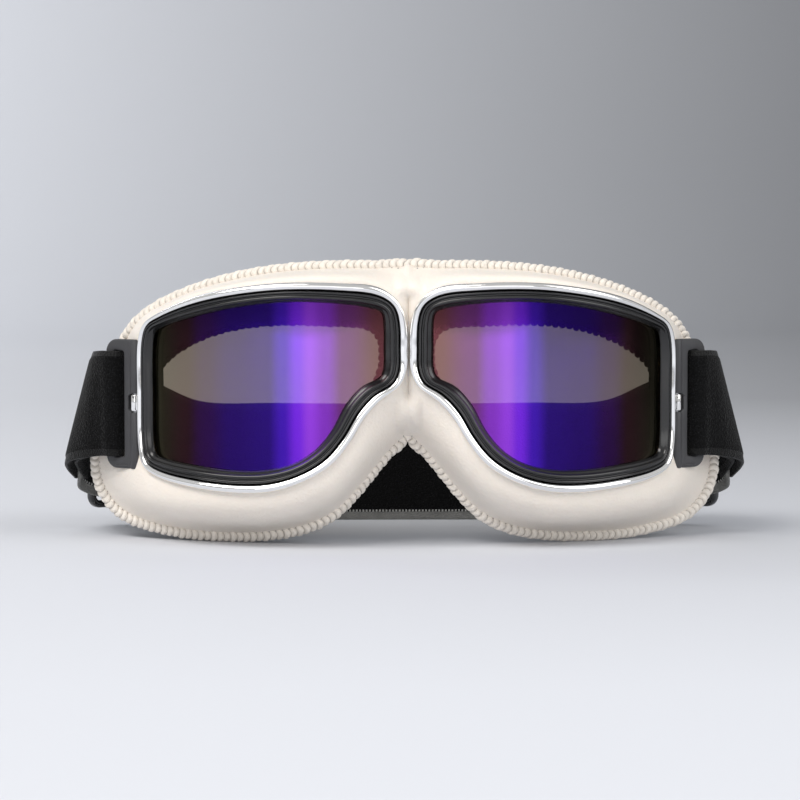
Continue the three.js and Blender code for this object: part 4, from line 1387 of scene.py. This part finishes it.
class GOGGLES_OT_stage(bpy.types.Operator):
    """Camera, soft studio lights, and a pale floor that curves up into a backdrop"""

    bl_idname = "goggles.stage"
    bl_label = "Stage"

    def execute(self, context):
        scene = context.scene
        camera = bpy.data.cameras.new("camera")
        camera.sensor_width = 36
        camera.lens = camera.sensor_width / 2 / math.tan(FIELD / 2)
        camera.clip_end = 50
        holder = bpy.data.objects.new("camera", camera)
        rise, yaw = math.radians(CAMERA_RISE), math.radians(CAMERA_YAW)
        level = math.cos(rise)
        back = Vector((-math.sin(yaw) * level, -math.cos(yaw) * level, math.sin(rise)))
        holder.location = Vector(CAMERA_AIM) + back * CAMERA_DISTANCE
        holder.rotation_mode = "QUATERNION"
        holder.rotation_quaternion = (-back).to_track_quat("-Z", "Y")
        scene.collection.objects.link(holder)
        scene.camera = holder
        self.backdrop(tuple(scene.goggles_colours.floor))
        aim = (0, 0, 0.04)
        area_light("key", (-0.9, -0.9, 1.5), aim, (1.4, 1.0), 25, (1, 0.975, 0.94))
        area_light("fill", (1.2, -0.7, 0.8), aim, (0.9, 1.2), 8)
        area_light("low", (-0.2, -1.7, 0.32), aim, (1.8, 0.5), 5)
        area_light("wall", (-1.3, 1.2, 1.4), (-0.4, 2.4, 0.5), (1.0, 1.0), 16)
        scene.view_settings.view_transform = "Standard"
        world = bpy.data.worlds.new("studio")
        world.use_nodes = True
        self.studio_sky(world.node_tree)
        scene.world = world
        return {"FINISHED"}

    def studio_sky(self, tree):
        """Bright overhead and behind; a dark band low in front, which gives the chrome its lines.

        The light is a ramp over the direction's height, mixed with a darker one by how far the
        direction points to the front.
        """
        sky = tree.nodes["Background"]
        place = tree.nodes.new("ShaderNodeTexCoord")
        split = tree.nodes.new("ShaderNodeSeparateXYZ")
        tree.links.new(place.outputs["Generated"], split.inputs[0])
        ramps = []
        for axis, stops in (
            ("Z", ((0.0, 0.9), (0.17, 1.0), (0.2, 0.08), (0.26, 0.08), (0.29, 1.1), (0.9, 0.9))),
            ("Y", ((-0.25, 0.0), (0.1, 1.0))),
        ):
            ramp = tree.nodes.new("ShaderNodeValToRGB")
            band = ramp.color_ramp
            while len(band.elements) < len(stops):
                band.elements.new(0.5)
            for element, (at, value) in zip(band.elements, stops):
                element.position = (at + 1) / 2
                element.color = (value, value, value, 1)
            half = tree.nodes.new("ShaderNodeMath")
            half.operation = "MULTIPLY_ADD"
            half.inputs[1].default_value = half.inputs[2].default_value = 0.5
            tree.links.new(split.outputs[axis], half.inputs[0])
            tree.links.new(half.outputs[0], ramp.inputs["Fac"])
            ramps.append(ramp.outputs["Color"])
        lighter = tree.nodes.new("ShaderNodeMix")
        lighter.data_type = "RGBA"
        lighter.blend_type = "LIGHTEN"
        lighter.inputs[0].default_value = 1
        tree.links.new(ramps[0], lighter.inputs[6])
        tree.links.new(ramps[1], lighter.inputs[7])
        tree.links.new(lighter.outputs[2], sky.inputs["Color"])
        sky.inputs["Strength"].default_value = 0.57

    def backdrop(self, colour):
        """A sweep: flat floor, then a quarter turn up into a wall behind, its colour darkened to
        the right and further back as a painted falloff of the light.
        """
        turn = np.radians(np.linspace(0, 90, 24))
        radius, floor_front, wall_top = 0.9, -4.0, 4.0
        y = np.concatenate([[floor_front], 1.6 + radius * np.sin(turn), [1.6 + radius]])
        z = np.concatenate([[0], radius * (1 - np.cos(turn)), [wall_top]])
        x = np.array([-5.0, 5.0])
        points = np.stack(np.broadcast_arrays(x[None], y[:, None], z[:, None]), 2)
        faces, _, _ = grid_faces(len(y), 2, False, False)
        piece = mesh_piece("sweep", points, faces[:, ::-1], None, 180)
        f = Finish("pale_sweep", colour, 0.85)
        # Painted shade: the sweep's colour falls to 0.34 of itself towards the right and the back.
        split = f.node("ShaderNodeSeparateXYZ")
        f.wire(f.place(), split.inputs[0])
        away = f.maths("MAXIMUM", f.maths("ADD", split.outputs["Y"], 1.2), 1.0)
        across = f.maths("DIVIDE", split.outputs["X"], away)
        behind = f.maths("MINIMUM", f.maths("ADD", split.outputs["Y"], 0.3), 1.0)
        slope = f.maths("MULTIPLY_ADD", across, 2.9, 0.45)
        drift = f.maths("MULTIPLY_ADD", f.noise(1.3, 1.0), 0.1, slope)
        share = f.maths("MULTIPLY", drift, f.maths("MAXIMUM", behind, 0.0))
        f.colour(f.ramp(share, [(0.0, colour), (1.0, darker(colour, 0.34))]))
        piece.data.materials.append(f.material)


# ------------------------------------------------------------------ panel and registration

BUILD = [
    GOGGLES_OT_stage, GOGGLES_OT_chrome_rims, GOGGLES_OT_gaskets, GOGGLES_OT_eye_frames,
    GOGGLES_OT_lenses, GOGGLES_OT_leather, GOGGLES_OT_stitched_edge, GOGGLES_OT_lining,
    GOGGLES_OT_outriggers, GOGGLES_OT_sliders, GOGGLES_OT_strap,
]


class GOGGLES_PT_panel(bpy.types.Panel):
    """Lists the goggles' sizes, colours and pieces"""

    bl_idname = "GOGGLES_PT_panel"
    bl_label = "Motorcycle Goggles"
    bl_space_type = "VIEW_3D"
    bl_region_type = "UI"
    bl_category = "Goggles"

    def draw(self, context):
        for group in (context.scene.goggles_sizes, context.scene.goggles_colours):
            for name in group.bl_rna.properties.keys():
                if name not in ("rna_type", "name"):
                    self.layout.prop(group, name)
        for operator in BUILD:
            self.layout.operator(operator.bl_idname)


CLASSES = [GogglesColours, GogglesSizes, *BUILD, GOGGLES_PT_panel]


def register():
    for cls in CLASSES:
        bpy.utils.register_class(cls)
    bpy.types.Scene.goggles_colours = bpy.props.PointerProperty(type=GogglesColours)
    bpy.types.Scene.goggles_sizes = bpy.props.PointerProperty(type=GogglesSizes)


def unregister():
    del bpy.types.Scene.goggles_sizes
    del bpy.types.Scene.goggles_colours
    for cls in reversed(CLASSES):
        bpy.utils.unregister_class(cls)


def main():
    """Builds every piece in order."""
    register()
    for operator in BUILD:
        family, name = operator.bl_idname.split(".")
        getattr(getattr(bpy.ops, family), name)()


if __name__ == "__main__":
    main()
